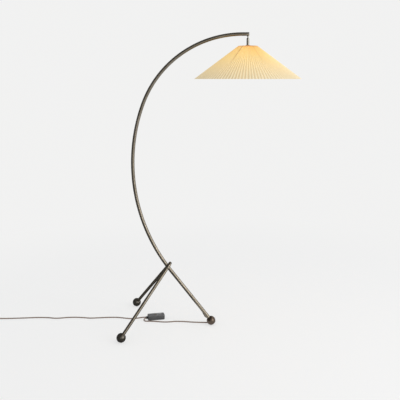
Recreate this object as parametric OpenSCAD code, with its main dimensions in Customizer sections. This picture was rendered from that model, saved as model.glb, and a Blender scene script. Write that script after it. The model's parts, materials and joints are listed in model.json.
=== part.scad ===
// Bridge floor lamp: a tube bent into a tall bow, propped by two crossed legs, with ball feet,
// a pleated cone shade on a small ball swivel, and a cord with a floor dimmer.
// Millimetres. The bow lies in the XZ plane and reaches towards +X. Z is up.

/* [Bow] */
// Outside diameter of the bow tube
bow_d = 18; // [15:0.5:20]
// Wall of the bow tube
bow_wall = 1.5; // [1:0.1:2]
// Lean of the straight foot of the bow from upright, in degrees
foot_lean = 39; // [36:0.5:42]
// Length of the straight foot, from the middle of the ball
foot_straight = 327; // [300:1:350]
// Radius of the lower bend
low_bend_r = 880; // [850:5:910]
// Angle that the lower bend turns through
low_bend_turn = 59; // [56:0.5:62]
// Radius of the upper bend
top_bend_r = 540; // [520:5:560]
// Length of the straight end of the bow
top_straight = 18.5; // [16:0.5:40]

/* [Legs] */
// Outside diameter of the two leg tubes
leg_d = 16; // [14:0.5:17]
// Wall of the leg tubes
leg_wall = 1.5; // [1:0.1:2]
// How far each foot stands behind the crossing
foot_back = 200.5; // [180:1:220]
// How far each foot stands to the side of the bow
foot_side = 243.5; // [225:1:244]
// Turn of the pair of legs about the crossing, in degrees
leg_turn = 2.5; // [0:0.5:3]
// Angle up the lower bend at which the legs cross the bow
cross_turn = 1.8; // [1:0.1:4]
// Distance from the middle of the bow to the middle of each leg where they cross
leg_lap = 23.5; // [23:0.5:28]
// Length of each leg beyond the crossing, with its cap
leg_beyond = 27; // [24:0.5:28]
// Height of the dome on each leg cap
cap_dome = 4.5; // [2:0.5:6]
// Length of each leg cap's plug inside the tube
cap_plug = 8; // [5:0.5:12]

/* [Crossing bolt] */
// Diameter of the bolt through the crossing
bolt_d = 6; // [5:0.5:6.5]
// Diameter of the countersunk heads
bolt_head_d = 10; // [9:0.5:12]
// Depth of the countersunk heads
bolt_head_h = 2.5; // [2:0.1:3]
// Diameter of the saddle spacers between the tubes
spacer_d = 11; // [9:0.5:12]

/* [Ball feet] */
// Diameter of the ball feet
ball_d = 45; // [42:0.5:48]
// Distance from the middle of a ball to the end of its tube
tube_seat = 14; // [12:0.5:16]
// Diameter of the threaded stud in each ball
stud_d = 8; // [6:0.5:9]
// Length of each stud's plug inside the tube
stud_plug = 16; // [10:1:24]
// Diameter of the floor pads
pad_d = 12; // [10:0.5:14]
// Thickness of the floor pads
pad_t = 2; // [1.5:0.1:3]

/* [Swivel] */
// Visible length of the fitting on the end of the bow
tip_l = 15.5; // [15:0.5:20]
// Distance from the end of the tube to the shade's axis
tip_axis = 8; // [7.5:0.5:8.5]
// Length of the tip fitting's plug inside the tube
tip_plug = 20; // [12:1:30]
// Radius of the swivel ball
swivel_ball_r = 4.4; // [4:0.1:4.5]
// Wall of the cup round the swivel ball
cup_wall = 0.9; // [0.7:0.1:1]
// Diameter of the spigot that the cup turns on
spigot_d = 6; // [5:0.5:6.5]
// Diameter of the two pins that the swivel ball tilts on
tilt_pin_d = 1.4; // [1:0.1:1.6]
// Diameter of the neck under the swivel ball
neck_d = 5.2; // [4.6:0.1:5.4]
// Bore for the wires through the neck and spigot
wire_bore = 3; // [2.6:0.1:3.4]
// Diameter of the stem that carries the lampholder
stem_d = 13; // [11:0.5:15]
// Distance from the middle of the swivel ball to the stem's shoulder
neck_l = 10; // [9.5:0.5:14]
// Height of the stem, shoulder to lampholder
stem_l = 40; // [36:0.5:46]

/* [Shade] */
// Outside radius of the shade at its rim
rim_r = 269; // [262:0.5:275]
// Outside radius of the shade at its top
shade_top_r = 48; // [46:0.5:54]
// Height of the shade
shade_h = 165; // [150:1:180]
// Number of pleats
pleats = 108; // [90:1:120]
// Depth of the pleats at the rim
rim_pleat = 4; // [2:0.5:6]
// Depth of the pleats at the top
top_pleat = 6; // [2:0.5:8]
// Thickness of the pleated skin, measured level
skin_t = 1.2; // [1:0.1:2]
// Diameter of the frame's wires
wire_d = 3; // [2.4:0.1:3.6]
// Number of struts in the frame
struts = 6; // [4:1:8]
// Distance from the stem's shoulder down to the top of the shade
shade_drop = 40; // [36:0.5:46]

/* [Lampholder and bulb] */
// Outside diameter of the lampholder
holder_d = 39; // [37:0.5:42]
// Length of the lampholder's body below its cap
holder_l = 42; // [38:0.5:50]
// Height of the lampholder's cap
holder_cap_h = 16; // [12:0.5:20]
// Diameter of the bulb's screw cap
bulb_cap_d = 26; // [25:0.1:26.2]
// Diameter of the bulb
bulb_d = 60; // [50:1:66]
// Length of the bulb's glass below the lampholder
bulb_l = 78; // [70:1:86]
// Diameter of the rings that clamp the shade
ring_d = 50; // [48:0.5:56]

/* [Floor dimmer] */
// Length of the dimmer
dimmer_l = 88; // [84:1:96]
// Width of the dimmer
dimmer_w = 42; // [40:1:46]
// Height of the dimmer
dimmer_h = 24; // [23:0.5:27]
// Height of the dimmer's tray
tray_h = 18; // [17:0.5:19]
// Wall of the dimmer's casing
casing_wall = 2; // [1.6:0.1:2.4]
// Length of the slider's pad
slider_l = 26; // [22:1:30]
// Width of the slider's pad
slider_w = 13; // [11:0.5:15]
// Height of the slider's pad
slider_h = 4; // [3:0.5:5]
// Distance of the slider from the middle of the dimmer, as it rests
slider_at = 15; // [12:0.5:16]

/* [Cord and plug] */
// Diameter of the cord
cord_d = 6; // [5:0.1:6.2]
// Number of turns in each layer of the coil
coil_turns = 3; // [2:1:4]
// Radius at the middle of the coil's turns
coil_r = 33; // [30:0.5:36]
// Distance from turn to turn, and from layer to layer
coil_pitch = 6.7; // [6.6:0.1:7.5]
// Thickness of the tie round the coil
tie_t = 0.7; // [0.5:0.1:0.8]
// Width of the tie round the coil
tie_w = 9; // [6:0.5:14]
// Length of the plug's body
plug_l = 34; // [30:0.5:38]
// Width of the plug's body
plug_w = 26; // [24:0.5:30]
// Thickness of the plug's body
plug_t = 14; // [13.5:0.5:16]
// Diameter of the plug's pins
pin_d = 4; // [3.8:0.1:4.8]
// Distance between the plug's pins
pin_gap = 18.6; // [16:0.1:19]

/* [Hidden] */
$fn = 64;

// Clearances
seat_gap = 0.1;    // between a tube or pin and the hole that it stays in
turn_gap = 0.1;    // between a pin and the bore that it turns in
ball_gap = 0.2;    // between the swivel ball and its cup
run_gap = 0.3;     // between pieces that move past each other
rest_gap = 0.2;    // between pieces that lie against each other
cut = 1;           // how far a cut runs past the faces that it opens

// The bow's centreline, as [x, z] from the point where the right ball stands
ball_r = ball_d / 2;
foot_start = [0, ball_r];
foot_along = [-sin(foot_lean), cos(foot_lean)];
low_start = foot_start + foot_straight * foot_along;
low_centre = low_start + low_bend_r * [cos(foot_lean), sin(foot_lean)];
mid_angle = 90 + foot_lean - low_bend_turn;
mid_point = low_centre + low_bend_r * [-sin(mid_angle), cos(mid_angle)];
top_centre = mid_point + top_bend_r * [sin(mid_angle), -cos(mid_angle)];
bow_top = top_centre + [0, top_bend_r];
tube_end_x = bow_top[0] + top_straight;
bow_bore = bow_d - 2 * bow_wall;
joint_step = 0.1;  // how much thinner the lapping lengths of tube are, on each skin
joint_lap = 2;     // how far they lap into their neighbours
top_lap = joint_lap / top_bend_r * 180 / PI;

// The crossing, and the legs in the frame of the crossing
cross_angle = 90 + foot_lean - cross_turn;
cross_at = low_centre + low_bend_r * [-sin(cross_angle), cos(cross_angle)];
leg_rise = cross_at[1] - ball_r;
leg_in = foot_side - leg_lap;
leg_level = norm([foot_back, leg_in]);
leg_run = norm([leg_level, leg_rise]);
leg_azimuth = atan2(leg_in, foot_back);
leg_slope = atan2(leg_level, leg_rise);
leg_tube_l = leg_run + leg_beyond - cap_dome;
leg_bore = leg_d - 2 * leg_wall;
// How far the leg's skin is from its middle along the bolt
leg_skin = leg_d / 2 / sqrt(1 - pow(leg_in / leg_run, 2));
bolt_face = leg_lap + leg_skin - 0.2;

// The shade's axis and heights
shade_x = tube_end_x + tip_axis;
pivot_z = bow_top[1] - bow_d / 2;
shoulder_z = pivot_z - neck_l;
stem_foot_z = shoulder_z - stem_l;
shade_top_z = shoulder_z - shade_drop;
shade_rim_z = shade_top_z - shade_h;
cup_inner_r = swivel_ball_r + ball_gap;
cup_r = cup_inner_r + cup_wall;
cup_mouth = swivel_ball_r * 0.55;
socket_r = cup_r + run_gap;
web_z = pivot_z + socket_r + 0.4;
web_t = 1.8;
clip_t = 1;
spigot_top_z = web_z + web_t + run_gap + clip_t + 0.6;

// The frame's wires lie inside the valleys of the pleats
rim_valley = rim_r - rim_pleat - skin_t;
top_valley = shade_top_r - top_pleat - skin_t;
cone_slope = atan2(rim_valley - top_valley, shade_h);
wire_in = (wire_d / 2 + rest_gap) / cos(cone_slope);
wire_inset = 4;
hoop_z = shade_rim_z + wire_inset;
hoop_r = rim_valley - wire_inset * tan(cone_slope) - wire_in;
top_wire_z = shade_top_z - wire_inset;
top_wire_r = top_valley + wire_inset * tan(cone_slope) - wire_in;

// The lampholder
holder_top_z = stem_foot_z + 4;
holder_skirt_z = holder_top_z - holder_cap_h;
holder_end_z = holder_skirt_z - holder_l;
holder_wall = 2.5;
ring_t = 4;
spider_t = 1.6;
spider_z = holder_skirt_z - 6;

// The whole lamp without its cord is centred on the origin
front_foot = [cross_at[0], 0] + turned([-foot_back, -foot_side], leg_turn);
back_foot = [cross_at[0], 0] + turned([-foot_back, foot_side], leg_turn);
low_x = min(front_foot[0], back_foot[0]) - ball_r;
high_x = shade_x + rim_r;
low_y = min(-rim_r, front_foot[1] - ball_r);
high_y = max(rim_r, back_foot[1] + ball_r);
middle = [(low_x + high_x) / 2, (low_y + high_y) / 2];

// The cord's outlet, in the frame of the straight foot
outlet_s = 72;
outlet_in = 3;
outlet_lean = 20;
outlet_round = 30;
bush_l = 28;
bush_d = 10;
bush_hole_d = 8;

// The dimmer on the floor
dimmer_at = [-295.4, 56.8];
dimmer_turn = 17.5;
corner_r = 8;
gland_z = 9;
gland_y = [-2, 12];
gland_out = 8;
slot_travel = 26;
slot_spare = 3;
tongue_l = 7;
tongue_w = 3;
board_z = 5;
board_t = 1.6;
screw_x = 34;
screw_d = 3;

// The coil, and the tail from it to the plug
coil_at = [-1160, -51.9];
coil_low_z = cord_d / 2 + tie_t + rest_gap;
coil_sides = 6;
coil_rings = 24;
coil_outer_r = coil_r + coil_pitch * coil_turns / 2;
coil_inner_r = coil_r - coil_pitch * coil_turns / 2;
coil_start = [coil_at[0] + cord_d, coil_at[1] + coil_outer_r, coil_low_z];
tie_angle = 200;

// Route of the cord from the bow to the dimmer
lamp_route = [
    [-37.2, 6.3, 51.2], [-34.7, 7.5, 44.7], [-31.3, 10, 38.3], [-26.2, 15, 32.6],
    [-20.8, 21.8, 27.4], [-16.3, 30.2, 21.8], [-12.2, 38.6, 15.9], [-6.4, 45.8, 10.3],
    [1.2, 49.6, 6.1], [9.2, 48.2, 3.9], [15.1, 42.6, 3.1], [17.4, 34.6, 3], [15.4, 26.6, 3],
    [9.5, 20.8, 3], [1.5, 18.7, 3], [-10, 18.2, 3], [-38, 18, 3], [-70, 17.6, 3],
    [-105, 18.8, 3], [-145, 22.6, 3], [-185, 21.5, 3], [-220, 12, 3], [-250, 9, 3],
    [-281, 12, 3], [-310, 14, 3], [-328, 13.2, 3], [-340.3, 12.7, 3], [-349.1, 15.9, 3.6],
    [-353.7, 24, 5.2], [-352.1, 33.1, 7.4], [-344.4, 39.3, 9], [-338.7, 41.1, 9]
];

// Route of the cord from the dimmer to the coil
mains_route = [
    [-342.8, 54.4, 9], [-348.6, 52.6, 9], [-358.5, 50.4, 8.8], [-372, 50, 7.4],
    [-388, 49.5, 4.6], [-405, 46, 3.1], [-428, 42, 3], [-460, 46, 3], [-500, 53, 3],
    [-545, 50, 3], [-590, 42, 3], [-640, 33, 3], [-675, 36, 3], [-720, 38, 3], [-765, 32, 3],
    [-800, 21, 3], [-830, 17, 3], [-865, 22, 3], [-920, 20, 3], [-980, 10, 3], [-1040, 0, 3],
    [-1095, -7, 3], [-1130, -8.9, 3.6], coil_start
];

// ---------------------------------------------------------------- helpers

function turned(p, a) = [p[0] * cos(a) - p[1] * sin(a), p[0] * sin(a) + p[1] * cos(a)];
function unit(v) = v / norm(v);
function last(list) = list[len(list) - 1];

// A smooth curve through the points, with the given number of steps between two of them
function curve_point(a, b, c, d, t) = 0.5 * (
    2 * b + (c - a) * t + (2 * a - 5 * b + 4 * c - d) * t * t + (3 * b - a - 3 * c + d) * t * t * t
);
function smooth(p, steps) = [
    for (i = [0 : len(p) - 2], k = [0 : steps - 1])
        curve_point(p[max(i - 1, 0)], p[i], p[i + 1], p[min(i + 2, len(p) - 1)], k / steps),
    last(p)
];

// Directions along a path, and side vectors that turn with it and never twist
function tangents(p) = [
    for (i = [0 : len(p) - 1]) unit(p[min(i + 1, len(p) - 1)] - p[max(i - 1, 0)])
];
function side_vectors(t, u, i = 0) =
    let (v = unit(u - (u * t[i]) * t[i]))
    i == len(t) - 1 ? [v] : concat([v], side_vectors(t, v, i + 1));

// A closed tube along a path
module path_tube(p, d, sides) {
    t = tangents(p);
    u = side_vectors(t, [0.3, 1, 0.2]);
    n = len(p);
    skin = [
        for (i = [0 : n - 1], k = [0 : sides - 1])
            let (a = 360 * k / sides) p[i] + d / 2 * (cos(a) * u[i] + sin(a) * cross(t[i], u[i]))
    ];
    walls = [
        for (i = [0 : n - 2], k = [0 : sides - 1], half = [0, 1])
            let (a = i * sides + k, b = i * sides + (k + 1) % sides)
            half == 0 ? [a, a + sides, b] : [b, a + sides, b + sides]
    ];
    ends = [
        for (k = [1 : sides - 2], end = [0, 1])
            let (m = (n - 1) * sides) end == 0 ? [0, k, k + 1] : [m, m + k + 1, m + k]
    ];
    polyhedron(points = skin, faces = concat(walls, ends), convexity = 8);
}

// Everything is drawn from the right ball's place, and then centred
module placed() {
    translate([-middle[0], -middle[1], 0])
        children();
}

// The frame of the straight foot: Z runs up the tube and -X is its underside
module on_foot(s) {
    placed()
        translate([foot_start[0], 0, foot_start[1]])
            rotate([0, -foot_lean, 0])
                translate([0, 0, s])
                    children();
}

// The frame of the crossing: Y runs along the bolt
module at_crossing() {
    placed()
        translate([cross_at[0], 0, cross_at[1]])
            rotate([0, 0, leg_turn])
                children();
}

// The frame of a leg: Z runs up it from the middle of its ball. The back leg mirrors the front.
module on_front_leg(s) {
    at_crossing()
        translate([-foot_back, -foot_side, -leg_rise])
            rotate([0, leg_slope, leg_azimuth])
                translate([0, 0, s])
                    children();
}

module on_back_leg(s) {
    at_crossing()
        mirror([0, 1, 0])
            translate([-foot_back, -foot_side, -leg_rise])
                rotate([0, leg_slope, leg_azimuth])
                    translate([0, 0, s])
                        children();
}

// The shade's axis, at a height above the floor
module on_axis(z) {
    placed()
        translate([shade_x, 0, z])
            children();
}

module on_dimmer() {
    placed()
        translate([dimmer_at[0], dimmer_at[1], 0])
            rotate([0, 0, dimmer_turn])
                children();
}

module ring(outer, inner) {
    difference() {
        circle(d = outer);
        circle(d = inner);
    }
}

module pipe(outer, inner, h) {
    linear_extrude(h)
        ring(outer, inner);
}

// Sweeps a 2D shape round part of a bend in the bow's plane
module bend(centre, r, from, turn) {
    placed()
        translate([centre[0], 0, centre[1]])
            rotate([90, 0, 0])
                rotate([0, 0, from])
                    rotate_extrude(angle = turn, $fn = 200)
                        translate([r, 0])
                            children();
}

// ---------------------------------------------------------------- stand

// The straight foot and the top bend are drawn a hair thinner, and lap into their neighbours
module bow_section(step) {
    ring(bow_d - 2 * step, bow_bore + 2 * step);
}

module bow_tube() {
    color("#4b4035")
    difference() {
        union() {
            on_foot(tube_seat)
                linear_extrude(foot_straight - tube_seat + joint_lap)
                    bow_section(joint_step);
            bend(low_centre, low_bend_r, 90 + mid_angle, low_bend_turn)
                bow_section(0);
            bend(top_centre, top_bend_r, 90 - top_lap, mid_angle + 2 * top_lap)
                bow_section(joint_step);
            placed()
                translate([bow_top[0], 0, bow_top[1]])
                    rotate([0, 90, 0])
                        linear_extrude(top_straight)
                            bow_section(0);
        }
        at_crossing()
            bolt_hole(bow_d);
        outlet(bush_hole_d + 2 * seat_gap, -8, bush_l);
    }
}

// A straight cut for the crossing bolt, half of it on each side
module bolt_hole(half) {
    rotate([90, 0, 0])
        translate([0, 0, -half])
            cylinder(d = bolt_d + 2 * seat_gap, h = 2 * half);
}

// The frame of the cord's outlet, which slants out of the foot's underside, turned to the back
module on_outlet(from) {
    on_foot(outlet_s)
        rotate([0, 0, -outlet_round])
            translate([-outlet_in, 0, 0])
                rotate([0, 180 + outlet_lean, 0])
                    translate([0, 0, from])
                        children();
}

module outlet(d, from, to) {
    on_outlet(from)
        cylinder(d = d, h = to - from);
}

module leg_tube() {
    translate([0, 0, tube_seat])
        pipe(leg_d, leg_bore, leg_tube_l - tube_seat);
}

// The cuts that the bolt, its head or nut and the heads' seats make in a leg
module leg_cuts(side) {
    at_crossing()
        bolt_hole(leg_lap + leg_d);
    at_crossing()
        bolt_head(side, seat_gap);
}

// A countersunk head on the outside of a leg: side is -1 in front and 1 behind
module bolt_head(side, gap) {
    rotate([-90 * side, 0, 0])
        translate([0, 0, bolt_face - bolt_head_h])
            cylinder(d1 = bolt_d + 2 * gap, d2 = bolt_head_d + 2 * gap, h = bolt_head_h + gap);
}

module front_leg() {
    color("#4b4035")
    difference() {
        on_front_leg(0)
            leg_tube();
        leg_cuts(-1);
    }
}

module back_leg() {
    color("#4b4035")
    difference() {
        on_back_leg(0)
            leg_tube();
        leg_cuts(1);
    }
}

// A domed cap with a plug that fits the tube, its dome a slice of a sphere
module leg_cap() {
    cap_rim = 1;
    dome_h = cap_dome - cap_rim;
    dome_r = (pow(leg_d / 2, 2) + pow(dome_h, 2)) / (2 * dome_h);
    translate([0, 0, -cap_plug])
        cylinder(d = leg_bore - 2 * seat_gap, h = cap_plug + cap_rim);
    cylinder(d = leg_d, h = cap_rim);
    intersection() {
        translate([0, 0, cap_dome - dome_r])
            sphere(r = dome_r);
        translate([0, 0, cap_rim])
            cylinder(d = leg_d, h = cap_dome);
    }
}

module leg_caps() {
    color("#2f2a25") {
        on_front_leg(leg_tube_l)
            leg_cap();
        on_back_leg(leg_tube_l)
            leg_cap();
    }
}

// Each spacer is coped to the bow on one side and to its leg on the other
module saddle_spacers() {
    color("#3c342b")
    difference() {
        at_crossing()
            rotate([90, 0, 0])
                translate([0, 0, -leg_lap])
                    cylinder(d = spacer_d, h = 2 * leg_lap);
        at_crossing()
            bolt_hole(leg_lap + cut);
        bend(low_centre, low_bend_r, 90 + cross_angle - 2, 4)
            circle(d = bow_d + 2 * seat_gap);
        on_front_leg(leg_run - 4 * leg_d)
            cylinder(d = leg_d + 2 * seat_gap, h = 8 * leg_d);
        on_back_leg(leg_run - 4 * leg_d)
            cylinder(d = leg_d + 2 * seat_gap, h = 8 * leg_d);
    }
}

module cross_bolt() {
    color("#3c342b")
    at_crossing() {
        rotate([90, 0, 0])
            translate([0, 0, -bolt_face])
                cylinder(d = bolt_d, h = 2 * bolt_face);
        bolt_head(-1, 0);
    }
}

module cross_nut() {
    color("#3c342b")
    at_crossing()
        difference() {
            bolt_head(1, 0);
            bolt_hole(bolt_face + cut);
        }
}

// A ball with the pad's recess; the tube's socket and the stud's hole are cut by its own module
module ball_blank() {
    difference() {
        sphere(d = ball_d);
        translate([0, 0, -ball_r - cut])
            cylinder(d = pad_d + 2 * seat_gap, h = pad_t + cut);
    }
}

module ball_socket(tube_d) {
    translate([0, 0, tube_seat - rest_gap])
        cylinder(d = tube_d + 2 * seat_gap, h = ball_d);
    cylinder(d = stud_d + 2 * seat_gap, h = ball_r);
}

module right_ball() {
    color("#33291f")
    difference() {
        placed()
            translate([0, 0, ball_r])
                ball_blank();
        on_foot(0)
            ball_socket(bow_d);
    }
}

module front_ball() {
    color("#33291f")
    difference() {
        placed()
            translate([front_foot[0], front_foot[1], ball_r])
                ball_blank();
        on_front_leg(0)
            ball_socket(leg_d);
    }
}

module back_ball() {
    color("#33291f")
    difference() {
        placed()
            translate([back_foot[0], back_foot[1], ball_r])
                ball_blank();
        on_back_leg(0)
            ball_socket(leg_d);
    }
}

module foot_stud(bore) {
    translate([0, 0, 1])
        cylinder(d = stud_d, h = tube_seat);
    translate([0, 0, tube_seat])
        cylinder(d = bore - 2 * seat_gap, h = stud_plug);
}

module foot_studs() {
    color("#8a8580") {
        on_foot(0)
            foot_stud(bow_bore);
        on_front_leg(0)
            foot_stud(leg_bore);
        on_back_leg(0)
            foot_stud(leg_bore);
    }
}

module floor_pads() {
    color("#1d1a18")
    placed()
        for (at = [[0, 0], front_foot, back_foot])
            translate([at[0], at[1], 0])
                cylinder(d = pad_d, h = pad_t);
}

// ---------------------------------------------------------------- swivel

// The fitting plugs the tube. The cup turns in it from below, on the web above its socket.
module tip_fitting() {
    round_r = bow_d / 2;
    end_round = 2;
    color("#6d655a")
    difference() {
        placed()
            translate([tube_end_x, 0, bow_top[1]])
                rotate([0, 90, 0]) {
                    translate([0, 0, -tip_plug])
                        cylinder(d = bow_bore - 2 * seat_gap, h = tip_plug + cut);
                    cylinder(r = round_r, h = tip_l - end_round);
                    translate([0, 0, tip_l - end_round])
                        cylinder(r1 = round_r, r2 = round_r - end_round, h = end_round);
                }
        // socket for the cup
        on_axis(pivot_z - cut)
            cylinder(r = socket_r, h = web_z - pivot_z + cut);
        // bearing hole for the spigot, and the room for its clip above
        on_axis(pivot_z)
            cylinder(d = spigot_d + 2 * turn_gap, h = bow_d / 2);
        on_axis(web_z + web_t)
            cylinder(r = socket_r, h = spigot_top_z - web_z - web_t + run_gap);
        // way for the wires from the tube
        placed()
            translate([tube_end_x - tip_plug - cut, 0, spigot_top_z - 1])
                rotate([0, 90, 0])
                    cylinder(d = 5, h = tip_plug + cut + tip_axis);
    }
}

module swivel_cup() {
    color("#3a332c")
    on_axis(pivot_z)
        difference() {
            union() {
                sphere(r = cup_r);
                cylinder(d = spigot_d, h = spigot_top_z - pivot_z);
            }
            sphere(r = cup_inner_r);
            translate([0, 0, -cup_r - cut])
                cylinder(r = cup_r + cut, h = cup_r + cut - cup_mouth);
            cylinder(d = wire_bore, h = spigot_top_z - pivot_z + cut);
            tilt_hole(seat_gap);
            // groove for the clip
            translate([0, 0, spigot_top_z - 0.6 - clip_t - pivot_z])
                pipe(spigot_d + cut, spigot_d - 1, clip_t);
        }
}

// A clip in the spigot's groove holds the cup up to the web
module swivel_clip() {
    color("#8a8580")
    on_axis(spigot_top_z - 0.6 - clip_t)
        translate([0, 0, rest_gap / 2])
            pipe(2 * socket_r - 1.4, spigot_d - 1 + 2 * seat_gap, clip_t - rest_gap);
}

// A hole on the tilt axis, along Y
module tilt_hole(gap) {
    rotate([90, 0, 0])
        translate([0, 0, -cup_r - cut])
            cylinder(d = tilt_pin_d + 2 * gap, h = 2 * (cup_r + cut));
}

// The ball tilts on two short pins, one in each side of the cup, clear of the wires
module tilt_pins() {
    color("#8a8580")
    on_axis(pivot_z)
        for (side = [-1, 1])
            rotate([90 * side, 0, 0])
                translate([0, 0, wire_bore / 2 + 0.5])
                    cylinder(d = tilt_pin_d, h = cup_r - wire_bore / 2 - 0.7);
}

// Ball, neck and stem turned from one bar, with a bore for the wires
module ball_stem() {
    stem_r = stem_d / 2;
    shoulder_h = 4;
    color("#57504a")
    on_axis(pivot_z)
        difference() {
            union() {
                sphere(r = swivel_ball_r);
                translate([0, 0, -neck_l - shoulder_h])
                    cylinder(d = neck_d, h = neck_l + shoulder_h);
                translate([0, 0, -neck_l - shoulder_h])
                    cylinder(r1 = stem_r, r2 = neck_d / 2 + 0.8, h = shoulder_h);
                translate([0, 0, -neck_l - stem_l])
                    cylinder(r = stem_r, h = stem_l - shoulder_h);
            }
            translate([0, 0, -neck_l - stem_l - cut])
                cylinder(d = wire_bore, h = neck_l + stem_l + cut + swivel_ball_r + cut);
            tilt_hole(turn_gap);
        }
}

// ---------------------------------------------------------------- lampholder and bulb

// A turned cup that screws on the stem's foot
module holder_cap() {
    wall = 2;
    color("#2a2624")
    on_axis(0)
        difference() {
            rotate_extrude()
                polygon([
                    [0, holder_skirt_z], [holder_d / 2, holder_skirt_z],
                    [holder_d / 2, holder_top_z - 9], [holder_d / 2 - 5, holder_top_z - 3],
                    [stem_d / 2 + 3, holder_top_z], [0, holder_top_z]
                ]);
            rotate_extrude()
                polygon([
                    [0, holder_skirt_z - cut], [holder_d / 2 - wall, holder_skirt_z - cut],
                    [holder_d / 2 - wall, holder_top_z - 10], [holder_d / 2 - 8, holder_top_z - 6],
                    [0, holder_top_z - 6]
                ]);
            translate([0, 0, stem_foot_z])
                cylinder(d = stem_d + 2 * seat_gap, h = holder_cap_h);
            translate([0, 0, holder_skirt_z])
                cylinder(d = 8, h = holder_cap_h);
        }
}

// The threaded body: a tube with a floor that holds the contacts
module holder_body() {
    floor_t = 3;
    color("#2a2624")
    on_axis(holder_end_z)
        difference() {
            cylinder(d = holder_d, h = holder_l);
            translate([0, 0, -cut])
                cylinder(d = holder_d - 2 * holder_wall, h = holder_l - floor_t + cut);
            cylinder(d = 8, h = holder_l + cut);
        }
}

// Screw shell and centre tongue
module holder_contacts() {
    shell_h = 20;
    color("#c9a75c")
    on_axis(holder_end_z + holder_l - 3) {
        translate([0, 0, -rest_gap - shell_h])
            pipe(bulb_cap_d + 2.2, bulb_cap_d + 1, shell_h);
        difference() {
            translate([0, 0, -rest_gap - 1.2])
                cylinder(d = 12, h = 1.2);
            translate([0, 0, -4])
                cylinder(d = wire_bore, h = 6);
        }
    }
}

// One ring above and one below the shade's fitter
module shade_rings() {
    color("#2a2624")
    for (z = [spider_z + spider_t + rest_gap, spider_z - rest_gap - ring_t])
        on_axis(z)
            pipe(ring_d, holder_d + 2 * seat_gap, ring_t);
}

// The bulb's glass: a globe that runs into a neck, hollow
module bulb_glass() {
    color("#f6ead0")
    on_axis(holder_end_z + 2)
        difference() {
            bulb_form(0);
            bulb_form(1);
        }
}

module bulb_form(inset) {
    globe_z = -bulb_l + bulb_d / 2;
    neck_r = bulb_cap_d / 2 + 1 - inset;
    globe_r = bulb_d / 2 - inset;
    // the cone leaves the globe where it is this far round from the equator
    lean = 35;
    union() {
        translate([0, 0, globe_z])
            sphere(r = globe_r);
        translate([0, 0, globe_z + globe_r * sin(lean)])
            cylinder(
                r1 = globe_r * cos(lean),
                r2 = neck_r,
                h = -globe_z - globe_r * sin(lean) - inset
            );
    }
}

module bulb_cap() {
    cap_l = 22;
    color("#b9b4ab")
    on_axis(holder_end_z + 2 + rest_gap) {
        cylinder(d = bulb_cap_d, h = cap_l);
        translate([0, 0, cap_l])
            cylinder(d1 = bulb_cap_d - 2, d2 = 10, h = 4);
        translate([0, 0, cap_l + 4])
            cylinder(d = 9, h = holder_l - cap_l - 12);
    }
}

// ---------------------------------------------------------------- shade

// The frame's fitter ring, its three arms and the wire that carries the top of the pleats
module fitter_spider() {
    arms = 3;
    flange = 4;
    from_r = ring_d / 2 + flange - 1;
    reach = norm([top_wire_r - from_r, top_wire_z - spider_z - spider_t / 2]);
    rise = atan2(top_wire_r - from_r, top_wire_z - spider_z - spider_t / 2);
    color("#e9e2d2") {
        on_axis(spider_z)
            pipe(ring_d + 2 * flange, holder_d + 2 * seat_gap, spider_t);
        on_axis(top_wire_z)
            rotate_extrude()
                translate([top_wire_r, 0])
                    circle(d = wire_d);
        for (k = [0 : arms - 1])
            on_axis(spider_z + spider_t / 2)
                rotate([0, 0, 60 + 360 * k / arms])
                    translate([from_r, 0, 0])
                        rotate([0, rise, 0])
                            cylinder(d = wire_d * 0.8, h = reach);
    }
}

// Straight wires from the top wire to the hoop, one behind a pleat's valley
module shade_struts() {
    strut_d = wire_d * 0.8;
    drop = top_wire_z - hoop_z;
    out = hoop_r - top_wire_r;
    full = norm([drop, out]);
    end_gap = wire_d / 2 + rest_gap;
    color("#e9e2d2")
    for (k = [0 : struts - 1])
        on_axis(top_wire_z)
            rotate([0, 0, 360 * k / struts])
                translate([top_wire_r, 0, 0])
                    rotate([0, 180 - atan2(out, drop), 0])
                        translate([0, 0, end_gap])
                            cylinder(d = strut_d, h = full - 2 * end_gap);
}

module shade_hoop() {
    color("#e9e2d2")
    on_axis(hoop_z)
        rotate_extrude($fn = 128)
            translate([hoop_r, 0])
                circle(d = wire_d);
}

// One level of folds: two points to a pleat, a crest and a valley
function fold_ring(crest_r, depth, z) = [
    for (k = [0 : 2 * pleats - 1])
        let (a = 180 * k / pleats, r = crest_r - (k % 2) * depth) [r * cos(a), r * sin(a), z]
];

// The four edges of the skin, outside and inside, and the bands of facets between them. Each
// fold is split along the same diagonal in both skins.
module pleated_shade() {
    n = 2 * pleats;
    folds = concat(
        fold_ring(rim_r, rim_pleat, shade_rim_z),
        fold_ring(shade_top_r, top_pleat, shade_top_z),
        fold_ring(shade_top_r - skin_t, top_pleat, shade_top_z),
        fold_ring(rim_r - skin_t, rim_pleat, shade_rim_z)
    );
    bands = [
        for (level = [0 : 3], k = [0 : n - 1], half = [0, 1])
            let (
                a = level * n + k,
                b = level * n + (k + 1) % n,
                c = (level + 1) % 4 * n + k,
                d = (level + 1) % 4 * n + (k + 1) % n
            )
            level == 2 ? (half == 0 ? [a, c, d] : [a, d, b]) : (half == 0 ? [a, c, b] : [b, c, d])
    ];
    color("#f3d9a0")
    on_axis(0)
        polyhedron(points = folds, faces = bands, convexity = 12);
}

// ---------------------------------------------------------------- wires inside

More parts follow.
